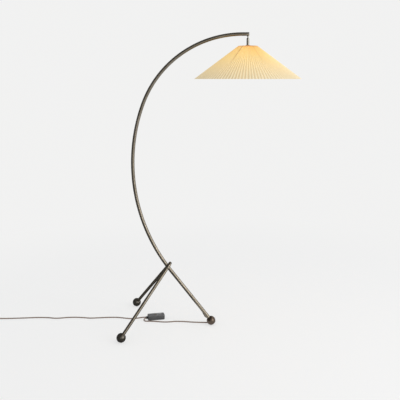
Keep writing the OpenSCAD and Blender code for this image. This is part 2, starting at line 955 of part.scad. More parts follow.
// The flex lies on the outer wall of the bow's bore, past the bolt, up to the tip
module bow_flex() {
    flex_d = 3.6;
    off = bow_bore / 2 - flex_d / 2 - rest_gap;
    flex_from = outlet_s + 12;
    flex_end = 2 * tip_plug / top_bend_r * 180 / PI;
    color("#b8b0a2") {
        on_foot(flex_from)
            translate([-off, 0, 0])
                cylinder(d = flex_d - 2 * joint_step, h = foot_straight - flex_from + joint_lap);
        bend(low_centre, low_bend_r + off, 90 + mid_angle, low_bend_turn)
            circle(d = flex_d);
        bend(top_centre, top_bend_r + off, 90 + flex_end, mid_angle - flex_end + top_lap)
            circle(d = flex_d - 2 * joint_step);
    }
}

// Two wires down the stem, as one round lead
module head_flex() {
    color("#b8b0a2")
    on_axis(stem_foot_z - 3)
        cylinder(d = wire_bore - 2 * rest_gap, h = stem_l + 6);
}

// ---------------------------------------------------------------- cord

// A rubber bush in the foot's underside that tapers along the cord. Its flange is coped to the
// tube that it lies against.
module cord_bush() {
    flange_at = 12;
    color("#24211f")
    difference() {
        union() {
            outlet(bush_hole_d, 4, flange_at + 4);
            difference() {
                on_outlet(flange_at)
                    cylinder(d1 = bush_d, d2 = cord_d + 1.6, h = bush_l - flange_at);
                on_foot(outlet_s - 2 * bush_l)
                    cylinder(d = bow_d + 2 * rest_gap, h = 4 * bush_l);
            }
        }
        outlet(cord_d + 2 * seat_gap, -cut, bush_l + cut);
    }
}

module lamp_cord() {
    color("#6b4c3b")
    placed()
        path_tube(lamp_route, cord_d, 8);
}

module mains_cord() {
    color("#6b4c3b")
    placed()
        path_tube(smooth(mains_route, 2), cord_d, 8);
}

// The coil spirals in on the floor, climbs as it turns back, and spirals out on top
function coil_point(turn) =
    let (
        from_turnback = turn - coil_turns,
        r = coil_inner_r + coil_pitch * abs(from_turnback),
        a = 90 + 360 * turn,
        up = min(max(from_turnback * 2 + 0.5, 0), 1)
    )
    [coil_at[0] + r * cos(a), coil_at[1] + r * sin(a), coil_low_z + up * coil_pitch];
coil_steps = 2 * coil_turns * coil_rings;
coil_wound = [for (k = [0 : coil_steps]) coil_point(k / coil_rings)];
coil_path = concat(
    [coil_start],
    coil_wound,
    [last(coil_wound) + [-cord_d, 0, 0]]
);
coil_gap = min([
    for (i = [0 : coil_steps], j = [i + coil_rings / 2 : coil_steps])
        norm(coil_wound[i] - coil_wound[j])
]) - cord_d;

module cord_coil() {
    echo(coil_gap_to_itself = coil_gap);
    color("#6b4c3b")
    placed()
        path_tube(coil_path, cord_d, coil_sides);
}

// A strap round all the turns, at one place
module cord_tie() {
    inner_w = coil_outer_r - coil_inner_r + cord_d + 2 * rest_gap;
    inner_h = coil_pitch + cord_d + 2 * rest_gap;
    color("#1f1c1a")
    placed()
        translate([coil_at[0], coil_at[1], tie_t + inner_h / 2])
            rotate([0, 0, tie_angle])
                translate([coil_r, 0, 0])
                    difference() {
                        cube([inner_w + 2 * tie_t, tie_w, inner_h + 2 * tie_t], center = true);
                        cube([inner_w, tie_w + 2 * cut, inner_h], center = true);
                    }
}

// ---------------------------------------------------------------- dimmer

// A block with round upright corners
module round_block(l, w, h, r) {
    hull()
        for (x = [-1, 1], y = [-1, 1])
            translate([x * (l / 2 - r), y * (w / 2 - r), 0])
                cylinder(r = r, h = h, $fn = 32);
}

module dimmer_tray() {
    color("#3b3b3d")
    on_dimmer()
        difference() {
            union() {
                difference() {
                    round_block(dimmer_l, dimmer_w, tray_h, corner_r);
                    translate([0, 0, casing_wall])
                        round_block(
                            dimmer_l - 2 * casing_wall,
                            dimmer_w - 2 * casing_wall,
                            tray_h,
                            corner_r - casing_wall
                        );
                }
                for (x = [-screw_x, screw_x])
                    translate([x, 0, casing_wall])
                        cylinder(d = screw_d + 4, h = tray_h - casing_wall - rest_gap);
            }
            for (x = [-screw_x, screw_x])
                translate([x, 0, -cut]) {
                    cylinder(d = screw_d + 2 * seat_gap, h = tray_h + 2 * cut);
                    cylinder(d = screw_d * 2 + 2 * seat_gap, h = 2 + cut);
                }
            for (y = gland_y)
                translate([-dimmer_l / 2 - cut, y, gland_z])
                    rotate([0, 90, 0])
                        cylinder(d = bush_hole_d + 2 * seat_gap, h = casing_wall + 2 * cut);
        }
}

// A shallow lid with a chamfered top, a slot for the slider and posts for the screws
module dimmer_cover() {
    lid_h = dimmer_h - tray_h;
    chamfer = 2.2;
    slot_from = slider_at - slot_travel - tongue_l / 2 - run_gap;
    slot_to = slider_at + slot_spare + tongue_l / 2 + run_gap;
    color("#47474a")
    on_dimmer()
        difference() {
            union() {
                translate([0, 0, tray_h]) {
                    round_block(dimmer_l, dimmer_w, lid_h - chamfer, corner_r);
                    hull() {
                        translate([0, 0, lid_h - chamfer - 0.01])
                            round_block(dimmer_l, dimmer_w, 0.01, corner_r);
                        translate([0, 0, lid_h - 0.01])
                            round_block(
                                dimmer_l - 2 * chamfer,
                                dimmer_w - 2 * chamfer,
                                0.01,
                                corner_r - chamfer
                            );
                    }
                }
            }
            translate([0, 0, tray_h - cut])
                round_block(
                    2 * (screw_x - screw_d),
                    dimmer_w - 4 * casing_wall,
                    lid_h + cut - casing_wall,
                    corner_r - 2 * casing_wall
                );
            translate([slot_from, -tongue_w / 2 - run_gap, tray_h])
                cube([slot_to - slot_from, tongue_w + 2 * run_gap, lid_h + cut]);
            for (x = [-screw_x, screw_x])
                translate([x, 0, tray_h - cut])
                    cylinder(d = screw_d + 2 * seat_gap, h = lid_h - 1.2 + cut);
        }
}

// The pad has finger ribs, and its tongue reaches down to the board's lever
module dimmer_slider() {
    ribs = 5;
    color("#5a5a5d")
    on_dimmer()
        translate([slider_at, 0, dimmer_h + run_gap]) {
            hull() {
                translate([-slider_l / 2, -slider_w / 2, 0])
                    cube([slider_l, slider_w, slider_h / 2]);
                translate([-slider_l / 2 + 2, -slider_w / 2 + 1.5, 0])
                    cube([slider_l - 4, slider_w - 3, slider_h - 0.8]);
            }
            for (k = [0 : ribs - 1])
                translate([(k - (ribs - 1) / 2) * 4 - 0.7, -slider_w / 2 + 2, slider_h - 1])
                    cube([1.4, slider_w - 4, 1]);
            translate([-tongue_l / 2, -tongue_w / 2, tray_h - 4 - dimmer_h])
                cube([tongue_l, tongue_w, dimmer_h - tray_h + 4 + 0.5]);
        }
}

module dimmer_screws() {
    head_h = 1.8;
    color("#8a8580")
    on_dimmer()
        for (x = [-screw_x, screw_x])
            translate([x, 0, 0]) {
                translate([0, 0, 0.1])
                    cylinder(d = screw_d * 2, h = head_h);
                translate([0, 0, head_h])
                    cylinder(d = screw_d, h = dimmer_h - 1.6 - head_h);
            }
}

// Circuit board with the slide control, choke and terminals, clear of the slider's tongue
module dimmer_board() {
    board_l = 2 * screw_x - screw_d - 4 - 2;
    board_w = dimmer_w - 2 * casing_wall - 2;
    control_top = tray_h - 4 - run_gap;
    color("#2f6b4a")
    on_dimmer() {
        translate([-board_l / 2, -board_w / 2, board_z])
            cube([board_l, board_w, board_t]);
        // the feet that hold the board off the tray
        for (x = [-1, 1], y = [-1, 1])
            translate([x * (board_l / 2 - 4), y * (board_w / 2 - 4), casing_wall])
                cylinder(d = 4, h = board_z - casing_wall);
        // slide control
        translate([slider_at - slot_travel - 6, -4, board_z + board_t])
            cube([slot_travel + 12 + slot_spare, 8, control_top - board_z - board_t]);
        // choke
        translate([8, board_w / 2 - 5, board_z + board_t])
            cylinder(d = 9, h = 7);
        // terminals
        translate([-board_l / 2 + 1, -board_w / 2 + 1, board_z + board_t])
            cube([9, 8, 6]);
        translate([-board_l / 2 + 1, board_w / 2 - 9, board_z + board_t])
            cube([9, 8, 6]);
    }
}

// Tapered rubber glands, one for each cord
module dimmer_glands() {
    color("#24211f")
    on_dimmer()
        for (y = gland_y)
            translate([-dimmer_l / 2, y, gland_z])
                rotate([0, -90, 0])
                    difference() {
                        union() {
                            translate([0, 0, -casing_wall - 2])
                                cylinder(d = bush_hole_d, h = casing_wall + 2 + cut);
                            cylinder(d1 = bush_d, d2 = cord_d + 1.6, h = gland_out);
                        }
                        translate([0, 0, -casing_wall - 3])
                            cylinder(d = cord_d + 2 * seat_gap, h = gland_out + casing_wall + 4);
                    }
}

// ---------------------------------------------------------------- plug

// The coil ends on its top layer, and the tail comes down to the plug beside it
tail_start = last(coil_path);
tail_route = [
    tail_start, tail_start + [-20, -0.5, -1], tail_start + [-40, -3, -2.6],
    tail_start + [-58, -12, -3.4], tail_start + [-67, -28, -3.6], tail_start + [-69, -46, -3.6],
    tail_start + [-69, -56, -3.6]
];
plug_at = last(tail_route);

module plug_tail() {
    color("#6b4c3b")
    placed()
        path_tube(smooth(tail_route, 2), cord_d, 8);
}

// The plug points along -Y: a tapered grip, a wide body and two pins in its far face
module on_plug() {
    placed()
        translate([plug_at[0], plug_at[1], 0])
            children();
}

module plug_body() {
    grip_l = 16;
    color("#1f1c1a")
    on_plug()
        difference() {
            union() {
                translate([0, 0, plug_at[2]])
                    rotate([90, 0, 0])
                        cylinder(d1 = cord_d + 1.6, d2 = 11, h = grip_l);
                hull() {
                    translate([-6, -grip_l - 3, plug_at[2] - 5.5])
                        cube([12, 3, 11]);
                    translate([-plug_w / 2, -plug_l - 4, 0])
                        cube([plug_w, 18, plug_t]);
                }
            }
            translate([0, 0, plug_at[2]])
                rotate([90, 0, 0])
                    translate([0, 0, -cut])
                        cylinder(d = cord_d + 2 * seat_gap, h = cut + rest_gap);
        }
}

module plug_pins() {
    pin_l = 19;
    color("#c2bcae")
    on_plug()
        for (x = [-1, 1])
            translate([x * pin_gap / 2, -plug_l - 4, plug_t / 2])
                rotate([90, 0, 0]) {
                    cylinder(d = pin_d, h = pin_l - 2);
                    translate([0, 0, pin_l - 2])
                        cylinder(d1 = pin_d, d2 = pin_d - 1.4, h = 2);
                }
}

bow_tube();
front_leg();
back_leg();
leg_caps();
saddle_spacers();
cross_bolt();
cross_nut();
right_ball();
front_ball();
back_ball();
foot_studs();
floor_pads();
tip_fitting();
swivel_cup();
swivel_clip();
tilt_pins();
ball_stem();
holder_cap();
holder_body();
holder_contacts();
shade_rings();
fitter_spider();
shade_struts();
shade_hoop();
pleated_shade();
bulb_glass();
bulb_cap();
bow_flex();
head_flex();
cord_bush();
lamp_cord();
dimmer_tray();
dimmer_cover();
dimmer_slider();
dimmer_screws();
dimmer_board();
dimmer_glands();
mains_cord();
cord_coil();
cord_tie();
plug_tail();
plug_body();
plug_pins();
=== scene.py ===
import json
import math
import random

import bmesh
import bpy
from mathutils import Matrix, Vector


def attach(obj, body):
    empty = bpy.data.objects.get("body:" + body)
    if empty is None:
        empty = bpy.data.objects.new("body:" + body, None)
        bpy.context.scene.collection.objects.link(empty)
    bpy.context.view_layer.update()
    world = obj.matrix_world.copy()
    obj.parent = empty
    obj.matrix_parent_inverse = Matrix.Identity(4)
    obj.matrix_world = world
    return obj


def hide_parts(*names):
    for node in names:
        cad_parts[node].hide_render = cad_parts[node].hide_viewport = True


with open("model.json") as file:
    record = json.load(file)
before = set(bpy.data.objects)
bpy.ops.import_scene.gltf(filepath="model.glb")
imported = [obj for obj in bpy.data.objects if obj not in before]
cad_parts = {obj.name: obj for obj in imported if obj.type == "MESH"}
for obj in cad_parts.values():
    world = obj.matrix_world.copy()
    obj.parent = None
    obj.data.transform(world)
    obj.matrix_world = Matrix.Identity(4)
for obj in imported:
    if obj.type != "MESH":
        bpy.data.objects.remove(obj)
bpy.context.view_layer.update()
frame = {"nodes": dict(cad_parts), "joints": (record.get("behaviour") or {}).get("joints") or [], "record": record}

# ------------------------------------------------------------------ sizes, in millimetres
# All sizes and places are in the bow frame: its origin is on the floor under the right ball,
# with X towards the shade and Z up. The shade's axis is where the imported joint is.
FOOT_LEAN = math.radians(39)
FOOT_STRAIGHT = 327
LOW_R, LOW_TURN = 880, math.radians(59)
TOP_R, TOP_STRAIGHT = 540, 18.5
TIP_AXIS = 8
BOW_R, LEG_R, BALL_R, TUBE_SEAT = 9.0, 8.0, 22.5, 14
CORD_D = 6.0

foot_start = Vector((0, 0, BALL_R))
foot_along = Vector((-math.sin(FOOT_LEAN), 0, math.cos(FOOT_LEAN)))
low_start = foot_start + foot_along * FOOT_STRAIGHT
low_centre = low_start + Vector((math.cos(FOOT_LEAN), 0, math.sin(FOOT_LEAN))) * LOW_R
mid_angle = math.pi / 2 + FOOT_LEAN - LOW_TURN
mid_point = low_centre + Vector((-math.sin(mid_angle), 0, math.cos(mid_angle))) * LOW_R
top_centre = mid_point + Vector((math.sin(mid_angle), 0, -math.cos(mid_angle))) * TOP_R
bow_top = top_centre + Vector((0, 0, TOP_R))
tube_end_x = bow_top.x + TOP_STRAIGHT
shade_x = tube_end_x + TIP_AXIS
pivot_z = bow_top.z - BOW_R

joint_at = Vector(frame["joints"][0]["pos_m"]) * 1000
SHIFT = Vector((joint_at.x - shade_x, joint_at.y, 0))
UP = Vector((0, 0, 1))


def place(p):
    """A point of the bow frame, in millimetres, as a point of the row frame in metres."""
    return (Vector(p) + SHIFT) / 1000


# ------------------------------------------------------------------ camera, as in the photograph
# It looks down a little, so that its shift stays small. Turns are in radians, and the shift is in
# widths of the frame.
CAMERA_AT = (259.5, -3179, 1264.2)
CAMERA_YAW, CAMERA_PITCH = 0.075, -0.0589
FOCAL_PX, FRAME_PX, SENSOR_MM = 632.6, 400, 36
CAMERA_SHIFT = (-0.0376, -0.21)

camera = bpy.data.objects.new("camera", bpy.data.cameras.new("camera"))
bpy.context.scene.collection.objects.link(camera)
camera.location = place(CAMERA_AT)
camera.rotation_euler = (math.pi / 2 + CAMERA_PITCH, 0, CAMERA_YAW)
camera.data.sensor_width = SENSOR_MM
camera.data.lens = FOCAL_PX / FRAME_PX * SENSOR_MM
camera.data.shift_x, camera.data.shift_y = CAMERA_SHIFT
bpy.context.scene.camera = camera


# ------------------------------------------------------------------ shader helpers


class Graph:
    """Short ways to add nodes to a tree. A value is a number, a colour or another node's socket."""

    def __init__(self, tree):
        self.tree = tree

    def node(self, kind, inputs=None, **props):
        n = self.tree.nodes.new(kind)
        for k, v in props.items():
            setattr(n, k, v)
        for k, v in (inputs or {}).items():
            self.feed(n.inputs[k], v)
        return n

    def feed(self, socket, value):
        if isinstance(value, bpy.types.NodeSocket):
            self.tree.links.new(value, socket)
        else:
            socket.default_value = value

    def coord(self, scale=(1, 1, 1), kind="Object", turn=(0, 0, 0)):
        """Object coordinates are metres in the row frame; UV is turns round and metres along."""
        source = self.node("ShaderNodeTexCoord").outputs[kind]
        return self.node(
            "ShaderNodeMapping", {"Vector": source, "Scale": scale, "Rotation": turn}
        ).outputs["Vector"]

    def noise(self, vector, scale, detail=4.0, rough=0.55, distort=0.0):
        return self.node(
            "ShaderNodeTexNoise",
            {
                "Vector": vector,
                "Scale": scale,
                "Detail": detail,
                "Roughness": rough,
                "Distortion": distort,
            },
        ).outputs["Fac"]

    def ramp(self, fac, *stops):
        n = self.node("ShaderNodeValToRGB", {"Fac": fac})
        ramp = n.color_ramp
        while len(ramp.elements) < len(stops):
            ramp.elements.new(0.5)
        for e, (at, colour) in zip(ramp.elements, stops):
            e.position = at
            e.color = (*colour, 1) if hasattr(colour, "__len__") else (colour,) * 3 + (1,)
        return n.outputs["Color"]

    def remap(self, value, low, high, to_low, to_high, curve="LINEAR"):
        return self.node(
            "ShaderNodeMapRange",
            {
                "Value": value,
                "From Min": low,
                "From Max": high,
                "To Min": to_low,
                "To Max": to_high,
            },
            interpolation_type=curve,
        ).outputs["Result"]

    def math(self, op, a, b=0.0):
        return self.node("ShaderNodeMath", {0: a, 1: b}, operation=op).outputs[0]

    def mix(self, fac, a, b, blend="MIX"):
        n = self.node("ShaderNodeMix", data_type="RGBA", blend_type=blend)
        self.feed(n.inputs[0], fac)
        self.feed(n.inputs[6], a)
        self.feed(n.inputs[7], b)
        return n.outputs[2]

    def attribute(self, name):
        return self.node("ShaderNodeAttribute", attribute_name=name).outputs["Fac"]

    def mix_shader(self, fac, a, b):
        return self.node("ShaderNodeMixShader", {0: fac, 1: a, 2: b}).outputs[0]

    def glow(self, kind, colour):
        """A background or an emission of strength 1."""
        return self.node(kind, {"Color": colour}).outputs[0]

    def seen_rays(self):
        """1 on the rays that show the background: camera, glossy and transmission rays."""
        rays = self.node("ShaderNodeLightPath").outputs
        seen = self.math("MAXIMUM", rays["Is Camera Ray"], rays["Is Glossy Ray"])
        return self.math("MAXIMUM", seen, rays["Is Transmission Ray"])


class Shader(Graph):
    """A material with a Principled surface."""

    def __init__(self, name):
        self.mat = bpy.data.materials.new(name)
        self.mat.use_nodes = True
        super().__init__(self.mat.node_tree)
        self.bsdf = self.tree.nodes["Principled BSDF"]

    def set(self, **values):
        for k, v in values.items():
            self.feed(self.bsdf.inputs[k.replace("_", " ")], v)

    def bump(self, height, strength, distance):
        n = self.node(
            "ShaderNodeBump",
            {"Height": height, "Strength": strength, "Distance": distance},
        )
        self.feed(self.bsdf.inputs["Normal"], n.outputs["Normal"])


def rgb(*c):
    return (*c, 1)


def bronzed(name, dark, middle, light, rough=0.34, metal=0.8):
    """Steel with a rubbed bronze finish: cloudy patches, fine rubbing along the tube and specks."""
    s = Shader(name)
    where = s.coord()
    along = s.coord((3, 0.006, 1), "UV")
    cloud = s.noise(where, 7, 5, 0.6, 0.4)
    rub = s.noise(along, 60, 6, 0.65)
    speck = s.noise(where, 900, 2, 0.5)
    blend = s.math("ADD", s.math("MULTIPLY", cloud, 0.65), s.math("MULTIPLY", rub, 0.35))
    colour = s.ramp(blend, (0.3, dark), (0.5, middle), (0.72, light))
    pits = s.remap(speck, 0.62, 0.75, 0, 0.5)
    s.set(
        Base_Color=s.mix(pits, colour, rgb(*dark)),
        Metallic=metal,
        Roughness=s.remap(blend, 0.3, 0.7, rough + 0.08, rough - 0.06),
    )
    s.bump(s.math("ADD", s.math("MULTIPLY", rub, 0.5), speck), 0.06, 0.0004)
    return s.mat


def plastic(name, colour, rough=0.5, grain=2500, depth=0.00012, strength=0.35, top_light=0.0):
    """Moulded plastic or rubber with a fine grain, faint handling marks and, where asked, a painted lighter top:
    colour made lighter where the surface faces up.
    """
    s = Shader(name)
    where = s.coord()
    grainy = s.noise(where, grain, 2, 0.6)
    marks = s.noise(where, 60, 4, 0.6, 0.6)
    lighter = [min(1, c * 1.25 + 0.004) for c in colour]
    surface = s.ramp(marks, (0.35, colour), (0.7, lighter))
    # Painted light: surfaces that face up are made lighter, as light from above would make them
    if top_light:
        normal = s.node("ShaderNodeNewGeometry").outputs["Normal"]
        upward = s.node("ShaderNodeSeparateXYZ", {"Vector": normal}).outputs["Z"]
        lit_top_mask = s.remap(upward, 0.2, 0.8, 0, top_light)
        surface = s.mix(lit_top_mask, surface, rgb(0.4, 0.4, 0.41))
    s.set(
        Base_Color=surface,
        Roughness=s.remap(marks, 0.35, 0.7, rough + 0.06, rough - 0.06),
    )
    s.bump(grainy, strength, depth)
    return s.mat


def bare_metal(name, colour, rough=0.3, turned=(1, 1, 30)):
    """Turned or drawn metal with fine tool marks."""
    s = Shader(name)
    marks = s.noise(s.coord(turned), 220, 4, 0.6)
    stain = s.noise(s.coord(), 30, 4, 0.6)
    darker = [c * 0.8 for c in colour]
    s.set(
        Base_Color=s.ramp(stain, (0.3, darker), (0.65, colour)),
        Metallic=0.95,
        Roughness=s.remap(marks, 0.3, 0.7, rough - 0.05, rough + 0.1),
    )
    s.bump(marks, 0.15, 0.0001)
    return s.mat


def braided(name, dark, light, yarns=6, per_metre=260):
    """A braided textile sleeve: yarns that cross over and under along the cord's own UV."""
    s = Shader(name)
    uv = s.node("ShaderNodeTexCoord").outputs["UV"]
    parts = s.node("ShaderNodeSeparateXYZ", {"Vector": uv})
    around = s.math("MULTIPLY", parts.outputs["X"], 2 * math.pi * yarns)
    forward = s.math("MULTIPLY", parts.outputs["Y"], 2 * math.pi * per_metre)
    one = s.math("SINE", s.math("ADD", around, forward))
    other = s.math("SINE", s.math("SUBTRACT", around, forward))
    yarn = s.math("MAXIMUM", one, other)
    fuzz = s.noise(s.coord(), 1800, 3, 0.7)
    worn = s.noise(s.coord(), 14, 3, 0.5)
    # Darker in the dips between the yarns: painted shade there
    colour = s.ramp(s.remap(yarn, -0.6, 1, 0, 1), (0.1, dark), (0.8, light))
    s.set(
        Base_Color=s.mix(s.remap(worn, 0.35, 0.7, 0, 0.3), colour, rgb(*light)),
        Roughness=0.85,
        Sheen_Weight=0.3,
    )
    s.bump(s.math("ADD", yarn, s.math("MULTIPLY", fuzz, 0.8)), 0.5, 0.0003)
    return s.mat


# Materials by the names of the record's slots, and a darker copy of bronze_ball that paints shade on the front and
# back balls
M = {
    "bronzed_tube": bronzed(
        "bronzed_tube", (0.125, 0.108, 0.083), (0.2, 0.175, 0.138), (0.31, 0.275, 0.225), 0.26, 0.88
    ),
    "dark_cap": bronzed("dark_cap", (0.06, 0.05, 0.038), (0.1, 0.085, 0.065), (0.16, 0.13, 0.1)),
    "bronze_ball": bronzed(
        "bronze_ball", (0.075, 0.055, 0.042), (0.125, 0.095, 0.074), (0.2, 0.155, 0.125), 0.24, 0.85
    ),
    # Painted shade: a darker, greyer copy of bronze_ball
    "dark_ball": bronzed(
        "dark_ball", (0.07, 0.063, 0.053), (0.125, 0.114, 0.096), (0.2, 0.182, 0.155), 0.22, 0.8
    ),
    "grey_bronze": bronzed(
        "grey_bronze", (0.15, 0.135, 0.115), (0.25, 0.235, 0.2), (0.4, 0.375, 0.33), 0.27, 0.9
    ),
    "steel": bare_metal("steel", (0.55, 0.53, 0.5)),
    "brass": bare_metal("brass", (0.72, 0.55, 0.28), 0.26),
    "cap_metal": bare_metal("cap_metal", (0.66, 0.64, 0.6), 0.28, (1, 1, 400)),
    "dark_plastic": plastic("dark_plastic", (0.028, 0.024, 0.021), 0.38),
    "felt": plastic("felt", (0.02, 0.018, 0.016), 0.95, 1500, 0.0006, 0.8),
    "frame_white": plastic("frame_white", (0.74, 0.7, 0.6), 0.45, 900),
    "flex": plastic("flex", (0.42, 0.38, 0.3), 0.6),
    "rubber_black": plastic("rubber_black", (0.03, 0.033, 0.028), 0.55, 2000),
    # The dimmer's two greys get the painted lighter top
    "dimmer_grey": plastic("dimmer_grey", (0.098, 0.098, 0.1), 0.4, 1600, 0.0002, 0.4, 0.3),
    "slider_grey": plastic("slider_grey", (0.36, 0.36, 0.365), 0.4, 1800, top_light=0.3),
    "board_green": plastic("board_green", (0.025, 0.12, 0.06), 0.35, 700),
    "tie_black": plastic("tie_black", (0.02, 0.02, 0.02), 0.8, 1800, 0.0004, 0.8),
    "plug_black": plastic("plug_black", (0.022, 0.02, 0.02), 0.45, 1800),
    "cord_textile": braided("cord_textile", (0.17, 0.115, 0.09), (0.38, 0.28, 0.23)),
}


# ------------------------------------------------------------------ mesh helpers


def side_axes(axis):
    u = axis.orthogonal().normalized()
    return u, axis.cross(u).normalized()


def lathe(profile, origin, axis, steps=72):
    """A turned form: profile is (radius, height) pairs in millimetres along the axis from origin."""
    origin, axis = Vector(origin), Vector(axis).normalized()
    u, v = side_axes(axis)
    verts, faces, uvs, rings, along = [], [], [], [], [0]
    for (r0, z0), (r1, z1) in zip(profile, profile[1:]):
        along.append(along[-1] + math.hypot(r1 - r0, z1 - z0) / 1000)
    for r, z in profile:
        centre = origin + axis * z
        count = 1 if r < 1e-6 else steps
        rings.append((len(verts), count))
        for k in range(count):
            a = 2 * math.pi * k / steps
            verts.append(centre + (u * math.cos(a) + v * math.sin(a)) * r)
    for i, ((a, na), (b, nb)) in enumerate(zip(rings, rings[1:])):
        for k in range(steps):
            j = (k + 1) % steps
            u0, u1, v0, v1 = k / steps, (k + 1) / steps, along[i], along[i + 1]
            if na == 1 and nb == 1:
                continue
            if na == 1:
                faces.append((a, b + j, b + k))
                uvs.append(((u0, v0), (u1, v1), (u0, v1)))
            elif nb == 1:
                faces.append((a + k, a + j, b))
                uvs.append(((u0, v0), (u1, v0), (u0, v1)))
            else:
                faces.append((a + k, a + j, b + j, b + k))
                uvs.append(((u0, v0), (u1, v0), (u1, v1), (u0, v1)))
    return verts, faces, uvs


def sweep(points, radii, sides=24):
    """A tube along points in millimetres, with closed ends, and UV as turns and metres."""
    points = [Vector(p) for p in points]
    n = len(points)
    if not hasattr(radii, "__len__"):
        radii = [radii] * n
    tangents = [
        (points[min(i + 1, n - 1)] - points[max(i - 1, 0)]).normalized() for i in range(n)
    ]
    u = tangents[0].cross(Vector((0.2, 1, 0.3))).normalized()
    verts, faces, uvs = [], [], []
    lengths = [0]
    for i in range(n):
        if i:
            lengths.append(lengths[-1] + (points[i] - points[i - 1]).length / 1000)
        u = (u - tangents[i] * u.dot(tangents[i])).normalized()
        w = tangents[i].cross(u)
        for k in range(sides):
            a = 2 * math.pi * k / sides
            verts.append(points[i] + (u * math.cos(a) + w * math.sin(a)) * radii[i])
    for i in range(n - 1):
        for k in range(sides):
            j = (k + 1) % sides
            a, b = i * sides, (i + 1) * sides
            faces.append((a + k, a + j, b + j, b + k))
            u0, u1 = k / sides, (k + 1) / sides
            v0, v1 = lengths[i], lengths[i + 1]
            uvs.append(((u0, v0), (u1, v0), (u1, v1), (u0, v1)))
    for first, v0 in ((0, 0), ((n - 1) * sides, lengths[-1])):
        ring = list(range(first, first + sides))
        faces.append(tuple(reversed(ring)) if first == 0 else tuple(ring))
        uvs.append(tuple((k / sides, v0) for k in range(sides)))
    return verts, faces, uvs


def rounded_loop(length, width, corner, middle, z, steps):
    """Points round a level rectangle with round corners, whose middle is at x = middle."""
    out = []
    for cx, cy, start in ((1, 1, 0), (-1, 1, 90), (-1, -1, 180), (1, -1, 270)):
        for k in range(steps + 1):
            a = math.radians(start + 90 * k / steps)
            x = middle + cx * (length / 2 - corner) + corner * math.cos(a)
            y = cy * (width / 2 - corner) + corner * math.sin(a)
            out.append(Vector((x, y, z)))
    return out


def band_faces(n, low, high):
    """Faces between two loops of n points each, by the numbers of the loops."""
    out = []
    for k in range(n):
        j = (k + 1) % n
        out.append((low * n + k, low * n + j, high * n + j, high * n + k))
    return out


def rounded_stack(length, width, corner, levels, steps=8):
    """A block with round upright corners: levels are (inset, height) from the bottom to the top."""
    verts, faces = [], []
    for inset, z in levels:
        r = max(corner - inset, 0.3)
        verts += rounded_loop(length - 2 * inset, width - 2 * inset, r, 0, z, steps)
    n, last = 4 * (steps + 1), len(levels) - 1
    for i in range(last):
        faces += band_faces(n, i, i + 1)
    faces.append(tuple(reversed(range(n))))
    faces.append(tuple(range(last * n, (last + 1) * n)))
    return verts, faces, None


def lofted(loops, steps=10):
    """A closed ring-shaped form: its skin passes through the loops and comes back to the first.
    A loop is a rounded rectangle: (length, width, corner, middle x, z)."""
    verts, faces = [], []
    for i, loop in enumerate(loops):
        verts += rounded_loop(*loop, steps)
        faces += band_faces(4 * (steps + 1), i, (i + 1) % len(loops))
    return verts, faces, None


def merged(*forms):
    verts, faces, uvs = [], [], []
    for v, f, t in forms:
        shift = len(verts)
        verts += v
        faces += [tuple(i + shift for i in face) for face in f]
        uvs += t if t else [tuple((0, 0) for _ in face) for face in f]
    return verts, faces, uvs


def moved(form, at=(0, 0, 0), turn=None):
    verts, faces, uvs = form
    turn = turn or Matrix.Identity(3)
    return [turn @ Vector(v) + Vector(at) for v in verts], faces, uvs


def piece(name, form, body, slot, nodes=(), crease=32, material=None):
    """Makes an object of a form in the bow frame: it rides on the body and replaces the nodes.
    Edges that turn by more than crease degrees stay sharp."""
    verts, faces, uvs = form
    mesh = bpy.data.meshes.new(name)
    mesh.from_pydata([place(v) for v in verts], [], faces)
    if uvs:
        layer = mesh.uv_layers.new(name="UVMap")
        flat = [c for face in uvs for corner in face for c in corner]
        layer.data.foreach_set("uv", flat)
    mesh.update()
    b = bmesh.new()
    b.from_mesh(mesh)
    bmesh.ops.recalc_face_normals(b, faces=b.faces)
    limit = math.radians(crease)
    for f in b.faces:
        f.smooth = True
    for e in b.edges:
        e.smooth = not e.is_manifold or e.calc_face_angle(0) < limit
    b.to_mesh(mesh)
    b.free()
    mesh.materials.append(material or M[slot])
    o = bpy.data.objects.new(name, mesh)
    bpy.context.scene.collection.objects.link(o)
    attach(o, body)
    if nodes:
        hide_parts(*nodes)
    return o


def smooth_path(points, steps):
    """A smooth curve through the points: a Catmull-Rom spline."""
    p = [Vector(q) for q in points]
    out = []
    for i in range(len(p) - 1):
        a, b, c, d = p[max(i - 1, 0)], p[i], p[i + 1], p[min(i + 2, len(p) - 1)]
        linear, square, cube = c - a, 2 * a - 5 * b + 4 * c - d, 3 * b - a - 3 * c + d
        for k in range(steps):
            t = k / steps
            out.append(0.5 * (2 * b + linear * t + square * t * t + cube * t * t * t))
    return out + [p[-1]]


# ------------------------------------------------------------------ cords
# The routes are those of part.scad, in metres, and the tail's is in millimetres from the coil's end.
LAMP_ROUTE = [
    (-0.0372, 0.0063, 0.0512), (-0.0347, 0.0075, 0.0447), (-0.0313, 0.01, 0.0383),
    (-0.0262, 0.015, 0.0326), (-0.0208, 0.0218, 0.0274), (-0.0163, 0.0302, 0.0218),
    (-0.0122, 0.0386, 0.0159), (-0.0064, 0.0458, 0.0103), (0.0012, 0.0496, 0.0061),
    (0.0092, 0.0482, 0.0039), (0.0151, 0.0426, 0.0031), (0.0174, 0.0346, 0.003),
    (0.0154, 0.0266, 0.003), (0.0095, 0.0208, 0.003), (0.0015, 0.0187, 0.003),
    (-0.01, 0.0182, 0.003), (-0.038, 0.018, 0.003), (-0.07, 0.0176, 0.003),
    (-0.105, 0.0188, 0.003), (-0.145, 0.0226, 0.003), (-0.185, 0.0215, 0.003),
    (-0.22, 0.012, 0.003), (-0.25, 0.009, 0.003), (-0.281, 0.012, 0.003),
    (-0.31, 0.014, 0.003), (-0.328, 0.0132, 0.003), (-0.3403, 0.0127, 0.003),
    (-0.3491, 0.0159, 0.0036), (-0.3537, 0.024, 0.0052), (-0.3521, 0.0331, 0.0074),
    (-0.3444, 0.0393, 0.009), (-0.3387, 0.0411, 0.009),
]
